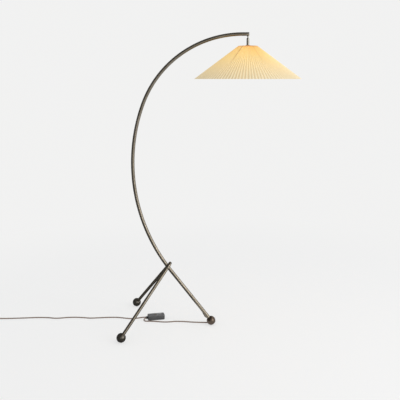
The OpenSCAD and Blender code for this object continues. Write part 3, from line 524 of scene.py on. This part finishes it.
MAINS_ROUTE = [
    (-0.3428, 0.0544, 0.009), (-0.3486, 0.0526, 0.009), (-0.3585, 0.0504, 0.0088),
    (-0.372, 0.05, 0.0074), (-0.388, 0.0495, 0.0046), (-0.405, 0.046, 0.0031),
    (-0.428, 0.042, 0.003), (-0.46, 0.046, 0.003), (-0.5, 0.053, 0.003),
    (-0.545, 0.05, 0.003), (-0.59, 0.042, 0.003), (-0.64, 0.033, 0.003),
    (-0.675, 0.036, 0.003), (-0.72, 0.038, 0.003), (-0.765, 0.032, 0.003),
    (-0.8, 0.021, 0.003), (-0.83, 0.017, 0.003), (-0.865, 0.022, 0.003),
    (-0.92, 0.02, 0.003), (-0.98, 0.01, 0.003), (-1.04, 0, 0.003),
    (-1.095, -0.007, 0.003), (-1.13, -0.0089, 0.0036),
]
TAIL_ROUTE = [
    (0, 0, 0), (-20, -0.5, -1), (-40, -3, -2.6), (-58, -12, -3.4),
    (-67, -28, -3.6), (-69, -46, -3.6), (-69, -56, -3.6),
]
COIL_AT = Vector((-1160, -51.9, 0))
COIL_TURNS, COIL_R, COIL_PITCH, COIL_LOW = 3, 33, 6.7, 3.9
COIL_STEPS, CORD_SIDES = 36, 16


def coil_point(turn):
    """Spirals in on the floor, climbs where it turns back, and spirals out on top."""
    from_back = turn - COIL_TURNS
    r = COIL_R - COIL_PITCH * COIL_TURNS / 2 + COIL_PITCH * abs(from_back)
    a = math.pi / 2 + 2 * math.pi * turn
    up = min(max(from_back * 2 + 0.5, 0), 1)
    return COIL_AT + Vector((r * math.cos(a), r * math.sin(a), COIL_LOW + up * COIL_PITCH))


lamp_path = smooth_path([Vector(p) * 1000 for p in LAMP_ROUTE], 5)
lamp_cord = piece(
    "lamp_cord_braid",
    sweep(lamp_path, CORD_D / 2, CORD_SIDES),
    "stand",
    "cord_textile",
    ["lamp_cord"],
)

wound = [coil_point(k / COIL_STEPS) for k in range(2 * COIL_TURNS * COIL_STEPS + 1)]
coil_start = wound[0] + Vector((CORD_D, 0, 0))
tail_start = wound[-1] + Vector((-CORD_D, 0, 0))
tail_points = [tail_start + Vector(step) for step in TAIL_ROUTE]
plug_at = tail_points[-1]
mains_points = [Vector(p) * 1000 for p in MAINS_ROUTE]
mains_path = (
    smooth_path(mains_points + [coil_start], 6)[:-1]
    + [coil_start]
    + wound
    + smooth_path(tail_points, 6)
)
mains_cord = piece(
    "mains_cord_braid",
    sweep(mains_path, CORD_D / 2, CORD_SIDES),
    "stand",
    "cord_textile",
    ["mains_cord", "cord_coil", "plug_tail"],
)

# Plug: a tapered, ribbed grip, a wide soft-edged body and two round pins, which point along -Y
GRIP_L, GRIP_RIBS, GRIP_PITCH, GRIP_TAPER = 16, 6, 2.3, 0.11
PLUG_L, PLUG_W, PLUG_T, PIN_R, PIN_GAP = 34, 26, 14, 2, 18.6
grip_profile = [(0, 0), (CORD_D / 2 + 0.2, 0.01), (CORD_D / 2 + 0.8, 0.4)]
for k in range(GRIP_RIBS):
    z = 1.2 + k * GRIP_PITCH
    r = CORD_D / 2 + 0.9 + z * GRIP_TAPER
    grip_profile += [(r, z), (r + 0.35, z + 0.4), (r + 0.35, z + 1.3), (r, z + 1.7)]
grip_profile += [(5.6, GRIP_L), (0, GRIP_L)]
grip = lathe(grip_profile, plug_at, (0, -1, 0), 40)
body_levels = [(2.2, 0), (1.2, 0.4), (0.4, 1.2), (0, 2.4), (0, 20.5), (0.5, 21.6), (1.6, 22)]
plug_block = rounded_stack(PLUG_W - 0.6, PLUG_T - 0.6, 5.6, body_levels, 10)
plug_turn = Matrix(((1, 0, 0), (0, 0, -1), (0, 1, 0)))
plug_block = moved(plug_block, (plug_at.x, plug_at.y - GRIP_L, PLUG_T / 2), plug_turn)
plug = piece("plug_shell", merged(grip, plug_block), "stand", "plug_black", ["plug_body"])

pin_profile = [(0, -3), (PIN_R, -3), (PIN_R, 16.6), (1.6, 18.2), (0.9, 19), (0, 19)]
pin_forms = []
for side in (-1, 1):
    pin_at = (plug_at.x + side * PIN_GAP / 2, plug_at.y - PLUG_L - 4, PLUG_T / 2)
    pin_forms.append(lathe(pin_profile, pin_at, (0, -1, 0), 32))
pins = piece("plug_pins_round", merged(*pin_forms), "stand", "brass", ["plug_pins"])

# Strap round the coil's turns, with its free end pressed flat on top
TIE_T, TIE_W, TIE_ANGLE, TIE_CORNER, TIE_BEVEL = 0.7, 9, math.radians(200), 3.4, 0.3
TAB_L, TAB_OUT, REST_GAP = 13, 2.5, 0.2
tie_inner_w = COIL_PITCH * COIL_TURNS + CORD_D + 2 * REST_GAP
tie_inner_h = COIL_PITCH + CORD_D + 2 * REST_GAP
tie_out = Vector((math.cos(TIE_ANGLE), math.sin(TIE_ANGLE), 0))
tie_at = COIL_AT + tie_out * COIL_R
band_turn = Matrix((tie_out, UP, tie_out.cross(UP))).transposed()
tab_turn = Matrix((tie_out, UP.cross(tie_out), UP)).transposed()
# Places round the band's section: how far out of its bore, and how far across
edge, flat = TIE_W / 2, TIE_W / 2 - TIE_BEVEL
band_section = (
    (0.45, -edge), (TIE_T, -flat), (TIE_T, flat), (0.45, edge),
    (0.1, edge), (0, flat), (0, -flat), (0.1, -edge),
)
band = lofted(
    [
        (tie_inner_w + 2 * out, tie_inner_h + 2 * out, TIE_CORNER + out, 0, across)
        for out, across in band_section
    ]
)
tab = rounded_stack(TAB_L, TIE_W - 0.8, 2.2, [(0.2, -0.1), (0, 0.05), (0, 0.5), (0.25, 0.65)])
strap = piece(
    "cord_strap",
    merged(
        moved(band, tie_at + UP * (TIE_T + tie_inner_h / 2), band_turn),
        moved(tab, tie_at + tie_out * TAB_OUT + UP * (2 * TIE_T + tie_inner_h), tab_turn),
    ),
    "stand",
    "tie_black",
    ["cord_tie"],
)

# ------------------------------------------------------------------ bow and legs
LEG_TURN, CROSS_TURN = math.radians(2.5), math.radians(1.8)
FOOT_BACK, FOOT_SIDE, LEG_LAP, LEG_BEYOND, CAP_H = 200.5, 243.5, 23.5, 27, 4.5
BEND_STEPS = 72


def straight(start, along, near, far, steps):
    """Points of a straight run, from near to far along a direction."""
    return [start + along * (near + (far - near) * k / steps) for k in range(steps + 1)]


def arc(centre, radius, start, stop, steps):
    """Points of the bow's plane; angles are from upright, towards the bow's back."""
    angles = [start + (stop - start) * k / steps for k in range(steps + 1)]
    return [centre + Vector((-math.sin(a), 0, math.cos(a))) * radius for a in angles]


def quarter_round(core, low, r, rise, steps=8):
    """Profile points that curve in from radius core + r at height low to core at low + rise."""
    angles = [math.radians(90 * k / steps) for k in range(1, steps + 1)]
    return [(core + r * math.cos(a), low + rise * math.sin(a)) for a in angles]


def ball_arc(r, start, stop, steps):
    """Profile points of a ball about the profile's origin; angles are in degrees from the top."""
    angles = [math.radians(start + (stop - start) * k / steps) for k in range(steps + 1)]
    return [(r * math.sin(a), r * math.cos(a)) for a in angles]


cross_start = math.pi / 2 + FOOT_LEAN
bow_line = straight(foot_start, foot_along, TUBE_SEAT, FOOT_STRAIGHT, 12)[:-1]
bow_line += arc(low_centre, LOW_R, cross_start, mid_angle, BEND_STEPS)[:-1]
bow_line += arc(top_centre, TOP_R, mid_angle, 0, BEND_STEPS)
bow_line += [Vector((tube_end_x, 0, bow_top.z))]
piece("bow_tube_skin", sweep(bow_line, BOW_R, 40), "stand", "bronzed_tube", ["bow_tube"])

cross_angle = cross_start - CROSS_TURN
cross_at = low_centre + Vector((-math.sin(cross_angle), 0, math.cos(cross_angle))) * LOW_R
leg_turn = Matrix.Rotation(LEG_TURN, 3, "Z")
leg_rise = cross_at.z - BALL_R
dome = [(0, 0.1), (7.4, 0.1), (7.9, 0.35), (LEG_R, 0.8), (7.85, 1.4)]
dome += quarter_round(0, 1.6, 7.6, 2.8)
feet = {"right": (foot_start, foot_along, BOW_R)}
for side, name in ((-1, "front"), (1, "back")):
    foot = cross_at + leg_turn @ Vector((-FOOT_BACK, side * FOOT_SIDE, -leg_rise))
    lap = cross_at + leg_turn @ Vector((0, side * LEG_LAP, 0))
    along = (lap - foot).normalized()
    end = (lap - foot).length + LEG_BEYOND - CAP_H
    feet[name] = (foot, along, LEG_R)
    line = straight(foot, along, TUBE_SEAT, end, 10)
    piece(f"{name}_leg_skin", sweep(line, LEG_R, 36), "stand", "bronzed_tube", [f"{name}_leg"])
    # One node holds both caps, and the front piece stands for it
    cap = lathe(dome, foot + along * end, along, 48)
    piece(f"{name}_leg_dome", cap, "stand", "dark_cap", ["leg_caps"] if side < 0 else [])

# Balls: turned round the tube's line, with a socket that the tube stands in
SOCKET_GAP, SOCKET_EDGE, BALL_STEPS = 0.12, 0.02, 40
for name, (foot, along, tube_r) in feet.items():
    socket_r = tube_r + SOCKET_GAP
    socket = math.asin(socket_r / BALL_R)
    floor_z, mouth_z = TUBE_SEAT - 0.2, BALL_R * math.cos(socket) - 0.6
    profile = [(0, floor_z), (socket_r, floor_z), (socket_r, mouth_z)]
    profile += ball_arc(BALL_R, math.degrees(socket + SOCKET_EDGE), 180, BALL_STEPS)
    # The front and back balls take the darker copy of bronze_ball: painted shade on them
    finish = M["bronze_ball" if name == "right" else "dark_ball"]
    piece(
        f"{name}_ball_turned",
        lathe(profile, foot, along),
        "stand",
        "bronze_ball",
        [f"{name}_ball"],
        material=finish,
    )

# ------------------------------------------------------------------ tip, swivel and stem
TIP_L, TIP_ROUND, TIP_NECK = 15.5, 2.8, 8.5
CUP_R, CUP_BORE, SWIVEL_BALL_R = 5.5, 4.6, 4.4
NECK_R, NECK_L, STEM_R, STEM_L, STEM_GROOVE = 2.6, 10, 6.5, 40, 6.25


def turned(name, profile, z, steps, body, slot, node, material=None):
    """A piece that is turned round the shade's axis; its profile's heights are from z."""
    form = lathe(profile, (shade_x, 0, z), UP, steps)
    return piece(name, form, body, slot, [node], material=material)


tip_profile = [(0, 0.3), (TIP_NECK, 0.3), (TIP_NECK, 0.9), (BOW_R, 1.2)]
tip_profile += [(BOW_R, TIP_L - TIP_ROUND - 0.3)]
tip_profile += quarter_round(BOW_R - TIP_ROUND, TIP_L - TIP_ROUND - 0.1, TIP_ROUND, TIP_ROUND)
tip_profile += [(0, TIP_L)]
tip = lathe(tip_profile, (tube_end_x, 0, bow_top.z), (1, 0, 0), 56)
piece("tip_end", tip, "stand", "grey_bronze", ["tip_fitting"])

# The cup is a slice of a hollow ball, open below; the stem's ball sits in it
cup_profile = [(0, 4), (3, 4)] + ball_arc(CUP_R, 57, 116, 12)
cup_profile += ball_arc(CUP_BORE, 122, 75, 8) + [(0, 1.2)]
turned("swivel_cup_turned", cup_profile, pivot_z, 48, "swivel", "grey_bronze", "swivel_cup")

stem_profile = [(0, 4.38)] + ball_arc(SWIVEL_BALL_R, 0, 143, 14)[1:]
stem_profile += [(2.62, -4.6), (NECK_R, -7), (2.75, -8.6), (3.15, -9.6), (3.9, -10.5)]
stem_profile += [(5.1, -11.6), (6.1, -12.9), (STEM_R, -14.2), (STEM_R, -46.5)]
stem_profile += [(STEM_GROOVE, -46.8), (STEM_GROOVE, -47.4), (STEM_R, -47.7)]
stem_profile += [(STEM_R, -NECK_L - STEM_L), (0, -NECK_L - STEM_L)]
turned("stem_turned", stem_profile, pivot_z, 56, "head", "grey_bronze", "ball_stem")

# ------------------------------------------------------------------ lampholder and bulb
HOLDER_R, HOLDER_BORE, HOLDER_CAP_H, HOLDER_L, HOLDER_LAP = 19.4, 16.6, 16, 42, 4
BULB_R, BULB_L, BULB_SEAT = 30, 78, 2
shoulder_z = pivot_z - NECK_L
holder_top_z = shoulder_z - STEM_L + HOLDER_LAP
skirt_z = holder_top_z - HOLDER_CAP_H
holder_end_z = skirt_z - HOLDER_L

cap_profile = [(6.7, -4), (6.7, -0.3), (9.3, 0), (10.2, -0.4), (14.4, -3), (17.6, -5.8), (19.2, -9)]
for k in range(3):
    z = -10 - k * 2
    cap_profile += [(HOLDER_R, z), (HOLDER_R, z - 1.2), (18.9, z - 1.5), (18.9, z - 1.8)]
cap_profile += [(HOLDER_R, 0.2 - HOLDER_CAP_H), (17, 0.2 - HOLDER_CAP_H), (17, -7)]
turned("holder_cap_turned", cap_profile, holder_top_z, 64, "head", "dark_plastic", "holder_cap")

body_profile = [(4.2, 0), (19.2, 0)]
for k in range(9):
    z = -0.4 - k * 4.2
    body_profile += [(19.3, z), (HOLDER_R, z - 1.2), (HOLDER_R, z - 2.6), (18.8, z - 3.3)]
body_profile += [(19.2, 2.6 - HOLDER_L), (19.2, 0.6 - HOLDER_L), (18.6, -HOLDER_L)]
body_profile += [(16.9, -HOLDER_L), (HOLDER_BORE, 0.6 - HOLDER_L), (HOLDER_BORE, -3)]
body_profile += [(4.2, -3), (4.2, 0)]
turned("holder_body_turned", body_profile, skirt_z, 64, "head", "dark_plastic", "holder_body")

opal = Shader("lit_glass")
frost = opal.noise(opal.coord(), 900, 2)
opal.set(
    Base_Color=opal.ramp(frost, (0.3, (0.9, 0.86, 0.78)), (0.7, (0.98, 0.95, 0.9))),
    Roughness=0.35,
    Emission_Color=rgb(1.0, 0.74, 0.42),
    Emission_Strength=9.0,
)
globe_z = holder_end_z + BULB_SEAT - BULB_L + BULB_R
glass_top = BULB_L - BULB_R
bulb_profile = ball_arc(BULB_R, 180, 55, 24)
bulb_profile += [(23.2, 19.4), (20.9, 24), (18.4, 30), (16.3, 37), (14.7, glass_top - 4)]
bulb_profile += [(14, glass_top - 0.6), (13, glass_top), (0, glass_top)]
turned("bulb_globe", bulb_profile, globe_z, 64, "head", "lit_glass", "bulb_glass", opal.mat)

# ------------------------------------------------------------------ pleated shade
PLEATS, RIM_R, TOP_SHADE_R, SHADE_H, SHADE_DROP = 108, 269, 48, 165, 40
RIM_PLEAT, TOP_PLEAT, SKIN_INSET = 4.0, 6.0, 0.2
# Unevenness of hand folding: how far a fold stands back, and how far it wanders, in radians
FOLD_SLACK, FOLD_SWAY = 0.35, 0.0022
# Painted strut shadows: darker lines on the paper over the struts, darkest where a strut touches the paper
STRUTS, TOUCHING_STRUT, STRUT_SHADOW_W, STRUT_FAINT = 6, 4, 4.2, 0.3
ROWS, HALVES, FOLDS = 22, 2, 2 * PLEATS
shade_top_z = shoulder_z - SHADE_DROP
random.seed(7)
unevenness = [(random.uniform(-1, 1), random.uniform(-1, 1)) for _ in range(FOLDS)]


def crest_at(t):
    """Radius of the outer folds at t of the way down."""
    return TOP_SHADE_R + (RIM_R - TOP_SHADE_R) * t - SKIN_INSET


def fold_at(k, t):
    """Where fold k is at t of the way down: x and y from the axis. Odd folds are the inner ones."""
    slack, sway = unevenness[k % FOLDS]
    depth = TOP_PLEAT + (RIM_PLEAT - TOP_PLEAT) * t
    r = crest_at(t) - k % 2 * depth
    r -= FOLD_SLACK * abs(slack) * (0.3 + 0.7 * math.sin(math.pi * t))
    a = math.pi * k / PLEATS + FOLD_SWAY * sway * (0.4 + 0.6 * t)
    return r * math.cos(a), r * math.sin(a)


def strut_shadow(x, y, crest):
    """How much painted shadow the nearest strut puts on the paper here, from 0 to 1."""
    spacing = 360 / STRUTS
    angle = math.degrees(math.atan2(y, x))
    off = angle % spacing
    off = math.radians(min(off, spacing - off)) * crest
    touching = round(angle / spacing) % STRUTS == TOUCHING_STRUT
    return max(0, 1 - off / STRUT_SHADOW_W) * (1 if touching else STRUT_FAINT)


columns = FOLDS * HALVES
shade_verts, shade_faces, shade_uvs = [], [], []
tones = {"fold": [], "strut": [], "down": []}
for i in range(ROWS + 1):
    t = i / ROWS
    for c in range(columns):
        k, part = divmod(c, HALVES)
        part /= HALVES
        (x0, y0), (x1, y1) = fold_at(k, t), fold_at(k + 1, t)
        x, y = (1 - part) * x0 + part * x1, (1 - part) * y0 + part * y1
        shade_verts.append(Vector((shade_x + x, y, shade_top_z - SHADE_H * t)))
        tones["fold"].append((1 - part) * (k % 2) + part * ((k + 1) % 2))
        tones["strut"].append(strut_shadow(x, y, crest_at(t)))
        tones["down"].append(t)
for i in range(ROWS):
    shade_faces += band_faces(columns, i, i + 1)
    for c in range(columns):
        u0, u1, v0, v1 = c / columns, (c + 1) / columns, i / ROWS, (i + 1) / ROWS
        shade_uvs.append(((u0, v0), (u1, v0), (u1, v1), (u0, v1)))


def pleated_paper():
    """Paper with painted light: a painted glow, warm near the bulb and paler at the rim, painted shade in the
    inner folds and a painted strut shadow.
    """
    s = Shader("pleated_paper")
    down, fold = s.attribute("down"), s.attribute("fold")
    fibre = s.noise(s.coord((40, 40, 6)), 22, 5, 0.6)
    cloud = s.noise(s.coord(), 9, 3, 0.5)
    # Painted light in the base colour: warmer and darker towards the top, paler at the rim
    base = s.ramp(
        down,
        (0.0, (0.7, 0.47, 0.22)),
        (0.06, (0.82, 0.6, 0.3)),
        (0.45, (0.86, 0.68, 0.4)),
        (0.95, (0.87, 0.77, 0.57)),
    )
    base = s.mix(s.remap(fibre, 0.3, 0.7, 0, 0.12), base, rgb(0.95, 0.86, 0.66))
    # Painted shade in the inner folds, stronger towards the rim
    crease = s.math("MULTIPLY", fold, s.remap(down, 0.15, 0.9, 0.2, 0.74))
    base = s.mix(crease, base, rgb(0.53, 0.39, 0.2))
    # Painted glow of the bulb through the paper, as emission: dim and orange at the very top, strongest a little
    # below it, fainter at the rim, and made uneven by random patches
    lit = s.ramp(
        down,
        (0.0, (0.24, 0.09, 0.02)),
        (0.05, (0.35, 0.22, 0.05)),
        (0.3, (0.37, 0.255, 0.06)),
        (0.6, (0.33, 0.235, 0.085)),
        (1.0, (0.235, 0.19, 0.1)),
    )
    # Painted strut shadow on the upper part, which darkens both the painted glow and the base colour
    shadow = s.math("MULTIPLY", s.attribute("strut"), s.remap(down, 0.3, 0.62, 0.75, 0))
    lit = s.mix(shadow, lit, rgb(0.03, 0.015, 0.004))
    lit = s.mix(s.remap(cloud, 0.3, 0.7, 0, 0.25), lit, rgb(0.34, 0.2, 0.05))
    s.set(
        Base_Color=s.mix(shadow, base, rgb(0.42, 0.3, 0.16)),
        Roughness=0.8,
        Emission_Color=lit,
        Emission_Strength=1.0,
        Sheen_Weight=0.15,
    )
    s.bump(fibre, 0.25, 0.0003)
    return s.mat


shade = piece(
    "shade_pleats",
    (shade_verts, shade_faces, shade_uvs),
    "head",
    "pleated_paper",
    ["pleated_shade"],
    crease=8,
    material=pleated_paper(),
)
for name, values in tones.items():
    layer = shade.data.attributes.new(name, "FLOAT", "POINT")
    layer.data.foreach_set("value", values)

# ------------------------------------------------------------------ cord bush and glands
OUTLET_S, OUTLET_LEAN, OUTLET_ROUND = 72, math.radians(20), math.radians(30)
BUSH_FROM, BUSH_TO, GLAND_L, GLAND_Z, GLAND_YS = 11, 28, 11, 9, (-2, 12)


def tapered_sleeve(points, ribs, start_r=5.0, end_r=3.8, groove=0.35):
    """A soft sleeve along points, with shallow rings, that ends just round the cord."""
    last = len(points) - 1
    radii = []
    for i in range(last + 1):
        t = i / last
        grooved = int(t * ribs * 2) % 2 and 0.1 < t < 0.9
        radii.append(start_r + (end_r - start_r) * t - (groove if grooved else 0))
    return sweep(points, radii, 28)


outlet_side = Vector((-math.cos(FOOT_LEAN), 0, -math.sin(FOOT_LEAN))) * math.cos(OUTLET_ROUND)
outlet_side += Vector((0, math.sin(OUTLET_ROUND), 0))
outlet_at = foot_start + foot_along * OUTLET_S + outlet_side * 3
outlet_dir = -foot_along * math.cos(OUTLET_LEAN) + outlet_side * math.sin(OUTLET_LEAN)
bush = tapered_sleeve(straight(outlet_at, outlet_dir, BUSH_FROM, BUSH_TO, 24), 4)
piece("cord_bush_moulded", bush, "stand", "rubber_black", ["cord_bush"])

# ------------------------------------------------------------------ floor dimmer
# Its forms are made about the middle of its foot, with X along it, and then put in place
DIMMER_AT, DIMMER_TURN = (-295.4, 56.8, 0), math.radians(17.5)
DIMMER_L, DIMMER_W, DIMMER_H, TRAY_H, CASING_WALL, CASING_CORNER = 88, 42, 24, 18, 2, 8
SLIDER_AT, SLIDER_L, SLIDER_W, RIB_COUNT, RIB_PITCH = 15, 26, 13, 5, 4
SLOT_TRAVEL, SLOT_SPARE, TONGUE_L, TONGUE_W, RUN_GAP = 26, 3, 7, 3, 0.3
dimmer_turn = Matrix.Rotation(DIMMER_TURN, 3, "Z")


def dimmer_piece(name, form, body, slot, node):
    return piece(name, moved(form, DIMMER_AT, dimmer_turn), body, slot, [node])


gland_forms = []
for gland_y in GLAND_YS:
    gland_root = Vector((3 - DIMMER_L / 2, gland_y, GLAND_Z))
    gland_line = straight(gland_root, Vector((-1, 0, 0)), 0, GLAND_L, 20)
    gland_line = [Vector(DIMMER_AT) + dimmer_turn @ p for p in gland_line]
    gland_forms.append(tapered_sleeve(gland_line, 3))
glands = merged(*gland_forms)
piece("dimmer_glands_moulded", glands, "stand", "rubber_black", ["dimmer_glands"])

tray_levels = [(2.2, 0), (1.2, 0.25), (0.4, 0.9), (0, 2), (0, TRAY_H - 1)]
tray_levels += [(0.25, TRAY_H - 0.4), (0.7, TRAY_H - 0.15), (CASING_WALL, TRAY_H - 0.15)]
tray_levels += [(CASING_WALL, 2.2)]
tray = rounded_stack(DIMMER_L, DIMMER_W, CASING_CORNER, tray_levels, 10)
dimmer_piece("dimmer_tray_moulded", tray, "stand", "dimmer_grey", "dimmer_tray")

# The lid's skin: up its soft outside, in to the slot, down it and back along the underside
slot_from = SLIDER_AT - SLOT_TRAVEL - TONGUE_L / 2 - RUN_GAP
slot_to = SLIDER_AT + SLOT_SPARE + TONGUE_L / 2 + RUN_GAP
slot = (slot_to - slot_from, TONGUE_W + 2 * RUN_GAP, 0.8, (slot_from + slot_to) / 2)
lid_top = DIMMER_H - 0.02
lid_outside = [(0.7, TRAY_H + 0.1), (0.2, TRAY_H + 0.35), (0, TRAY_H + 0.9), (0, DIMMER_H - 2.6)]
lid_outside += [(0.25, DIMMER_H - 1.7), (0.9, DIMMER_H - 0.85), (1.9, DIMMER_H - 0.3)]
lid_outside += [(3.2, DIMMER_H - 0.1), (4.2, lid_top)]
lid_inside = [(CASING_WALL + 0.2, DIMMER_H - 2), (CASING_WALL + 0.2, TRAY_H + 0.1)]


def casing_loops(levels):
    """Loops of the casing's outline, set in by each level's inset."""
    return [
        (DIMMER_L - 2 * inset, DIMMER_W - 2 * inset, CASING_CORNER - inset, 0, z)
        for inset, z in levels
    ]


lid_loops = casing_loops(lid_outside) + [(*slot, lid_top), (*slot, DIMMER_H - 2)]
lid_loops += casing_loops(lid_inside)
dimmer_piece("dimmer_lid_moulded", lofted(lid_loops), "stand", "dimmer_grey", "dimmer_cover")

# The slider: a soft pad with finger ribs, and a tongue down through the slot
pad_levels = [(0.5, 0), (0.1, 0.25), (0, 0.7), (0, 1.9), (0.5, 2.3), (1.4, 2.75), (1.9, 3)]
pad_levels += [(2.4, 3.05)]
rib_levels = [(0, 2.7), (0, 3.3), (0.18, 3.65), (0.42, 3.85)]
tongue_low = TRAY_H - 4 - DIMMER_H
tongue_levels = [(0.3, tongue_low), (0, tongue_low + 0.4), (0, 0.3)]
slider_forms = [rounded_stack(SLIDER_L, SLIDER_W, 2.6, pad_levels)]
for k in range(RIB_COUNT):
    rib = rounded_stack(1.5, SLIDER_W - 4.6, 0.6, rib_levels, 4)
    slider_forms.append(moved(rib, ((k - (RIB_COUNT - 1) / 2) * RIB_PITCH, 0, 0)))
slider_forms.append(rounded_stack(TONGUE_L, TONGUE_W, 0.5, tongue_levels, 4))
slider = moved(merged(*slider_forms), (SLIDER_AT, 0, DIMMER_H + RUN_GAP))
dimmer_piece("dimmer_slider_moulded", slider, "slider", "slider_grey", "dimmer_slider")

# ------------------------------------------------------------------ CAD nodes that stay
slot_of = {s["node"]: s["material_slot"] for s in frame["record"]["subparts"]}
for name, o in frame["nodes"].items():
    if not o.hide_render and slot_of.get(name) in M:
        o.data.materials.clear()
        o.data.materials.append(M[slot_of[name]])

# ------------------------------------------------------------------ studio, in metres
BACK = rgb(0.884, 0.884, 0.88)
BRIGHT_SIDE = Vector((0.82, -0.42, -0.38)).normalized()
FLOOR_R, FLOOR_SIDES, FLOOR_Z = 8, 96, -0.0002
NEAR_R, FAR_R = 1.0, 2.6

# The room is bright to the right and in front, and darker to the left and above
world = bpy.data.worlds.new("studio")
bpy.context.scene.world = world
world.use_nodes = True
room = Graph(world.node_tree)
room.tree.nodes.clear()
way = room.node("ShaderNodeTexCoord").outputs["Generated"]
facing = room.node("ShaderNodeVectorMath", {0: way, 1: BRIGHT_SIDE}, operation="DOT_PRODUCT")
level = room.remap(facing.outputs["Value"], -0.55, 0.5, 0.52, 0.78, "SMOOTHSTEP")
ambient = room.node("ShaderNodeBackground", {"Color": rgb(0.97, 0.985, 1.0), "Strength": level})
backdrop = room.glow("ShaderNodeBackground", BACK)
surface = room.mix_shader(room.seen_rays(), ambient.outputs[0], backdrop)
room.node("ShaderNodeOutputWorld", {"Surface": surface})


def area_light(name, at, to, size, watts, colour=(1, 1, 1)):
    data = bpy.data.lights.new(name, "AREA")
    data.shape = "RECTANGLE"
    data.size, data.size_y = size
    data.energy = watts
    data.color = colour
    o = bpy.data.objects.new(name, data)
    bpy.context.scene.collection.objects.link(o)
    o.location = at
    o.rotation_euler = (Vector(to) - Vector(at)).to_track_quat("-Z", "Y").to_euler()
    o.visible_camera = False
    return o


area_light("key", (2.9, -1.3, 1.8), (0, 0, 0.8), (0.7, 2.2), 24, (1.0, 0.98, 0.95))
area_light("fill", (2.0, -2.9, 1.1), (0, 0, 0.5), (0.45, 0.45), 6)
# A wide strip that only gloss shows: the pale band along each tube
strip = area_light("strip", (2.5, -1.7, 1.2), (0, 0, 0.9), (1.5, 2.6), 25, (1.0, 0.96, 0.9))
strip.visible_diffuse = False


def stage_mesh(name, corners):
    """One flat face that belongs to the studio and not to the lamp."""
    mesh = bpy.data.meshes.new(name)
    mesh.from_pydata(corners, [], [tuple(range(len(corners)))])
    o = bpy.data.objects.new(name, mesh)
    bpy.context.scene.collection.objects.link(o)
    return o


# Dark studio cards round the left side: only gloss shows them, as the tubes' dark sides
card = Shader("dark_card")
card.set(Base_Color=rgb(0.2, 0.2, 0.19), Roughness=0.9)
for name, corners in (
    ("left", [(-2.4, -3.8, 0.01), (-2.2, 3.0, 0.01), (-2.2, 3.0, 3.0), (-2.4, -3.8, 3.0)]),
    ("front", [(-2.4, -3.8, 0.01), (-0.9, -4.2, 0.01), (-0.9, -4.2, 3.0), (-2.4, -3.8, 3.0)]),
    ("back", [(-2.2, 3.0, 0.3), (0.1, 3.4, 0.3), (0.1, 3.2, 3.0), (-2.2, 3.0, 3.0)]),
    ("top", [(-2.4, -3.8, 3.0), (0.6, -3.8, 3.0), (0.9, 3.2, 3.0), (-2.4, 3.2, 3.0)]),
    ("low", [(-2.4, -3.8, 0.006), (-0.16, -3, 0.006), (-0.16, 3, 0.006), (-2.2, 3, 0.006)]),
):
    o = stage_mesh(f"{name}_card", corners)
    o.data.materials.append(card.mat)
    for sight in ("camera", "diffuse", "shadow", "transmission"):
        setattr(o, f"visible_{sight}", False)

# The floor: it takes the lamp's shadow near the lamp, fades into the backdrop further out, and
# is clear from below
rim = []
for k in range(FLOOR_SIDES):
    a = 2 * math.pi * k / FLOOR_SIDES
    rim.append((FLOOR_R * math.cos(a), FLOOR_R * math.sin(a), FLOOR_Z))
floor = stage_mesh("floor", rim)
floor_mat = bpy.data.materials.new("floor")
floor_mat.use_nodes = True
ground = Graph(floor_mat.node_tree)
ground.tree.nodes.clear()
place_on = ground.node("ShaderNodeTexCoord").outputs["Object"]
away = ground.node("ShaderNodeVectorMath", {0: place_on}, operation="LENGTH").outputs["Value"]
shadowed = ground.node("ShaderNodeBsdfDiffuse", {"Color": rgb(0.36, 0.36, 0.36)}).outputs[0]
lift = ground.glow("ShaderNodeEmission", rgb(0.629, 0.629, 0.627))
near = ground.node("ShaderNodeAddShader", {0: shadowed, 1: lift}).outputs[0]
far = ground.glow("ShaderNodeEmission", BACK)
shown = ground.mix_shader(ground.remap(away, NEAR_R, FAR_R, 0, 1, "SMOOTHSTEP"), near, far)
plain = ground.node("ShaderNodeBsdfDiffuse", {"Color": rgb(0.7, 0.7, 0.7)}).outputs[0]
above = ground.mix_shader(ground.seen_rays(), plain, shown)
below = ground.node("ShaderNodeNewGeometry").outputs["Backfacing"]
clear = ground.node("ShaderNodeBsdfTransparent").outputs[0]
surface = ground.mix_shader(below, above, clear)
ground.node("ShaderNodeOutputMaterial", {"Surface": surface})
floor.data.materials.append(floor_mat)

bpy.context.scene.view_settings.view_transform = "Standard"
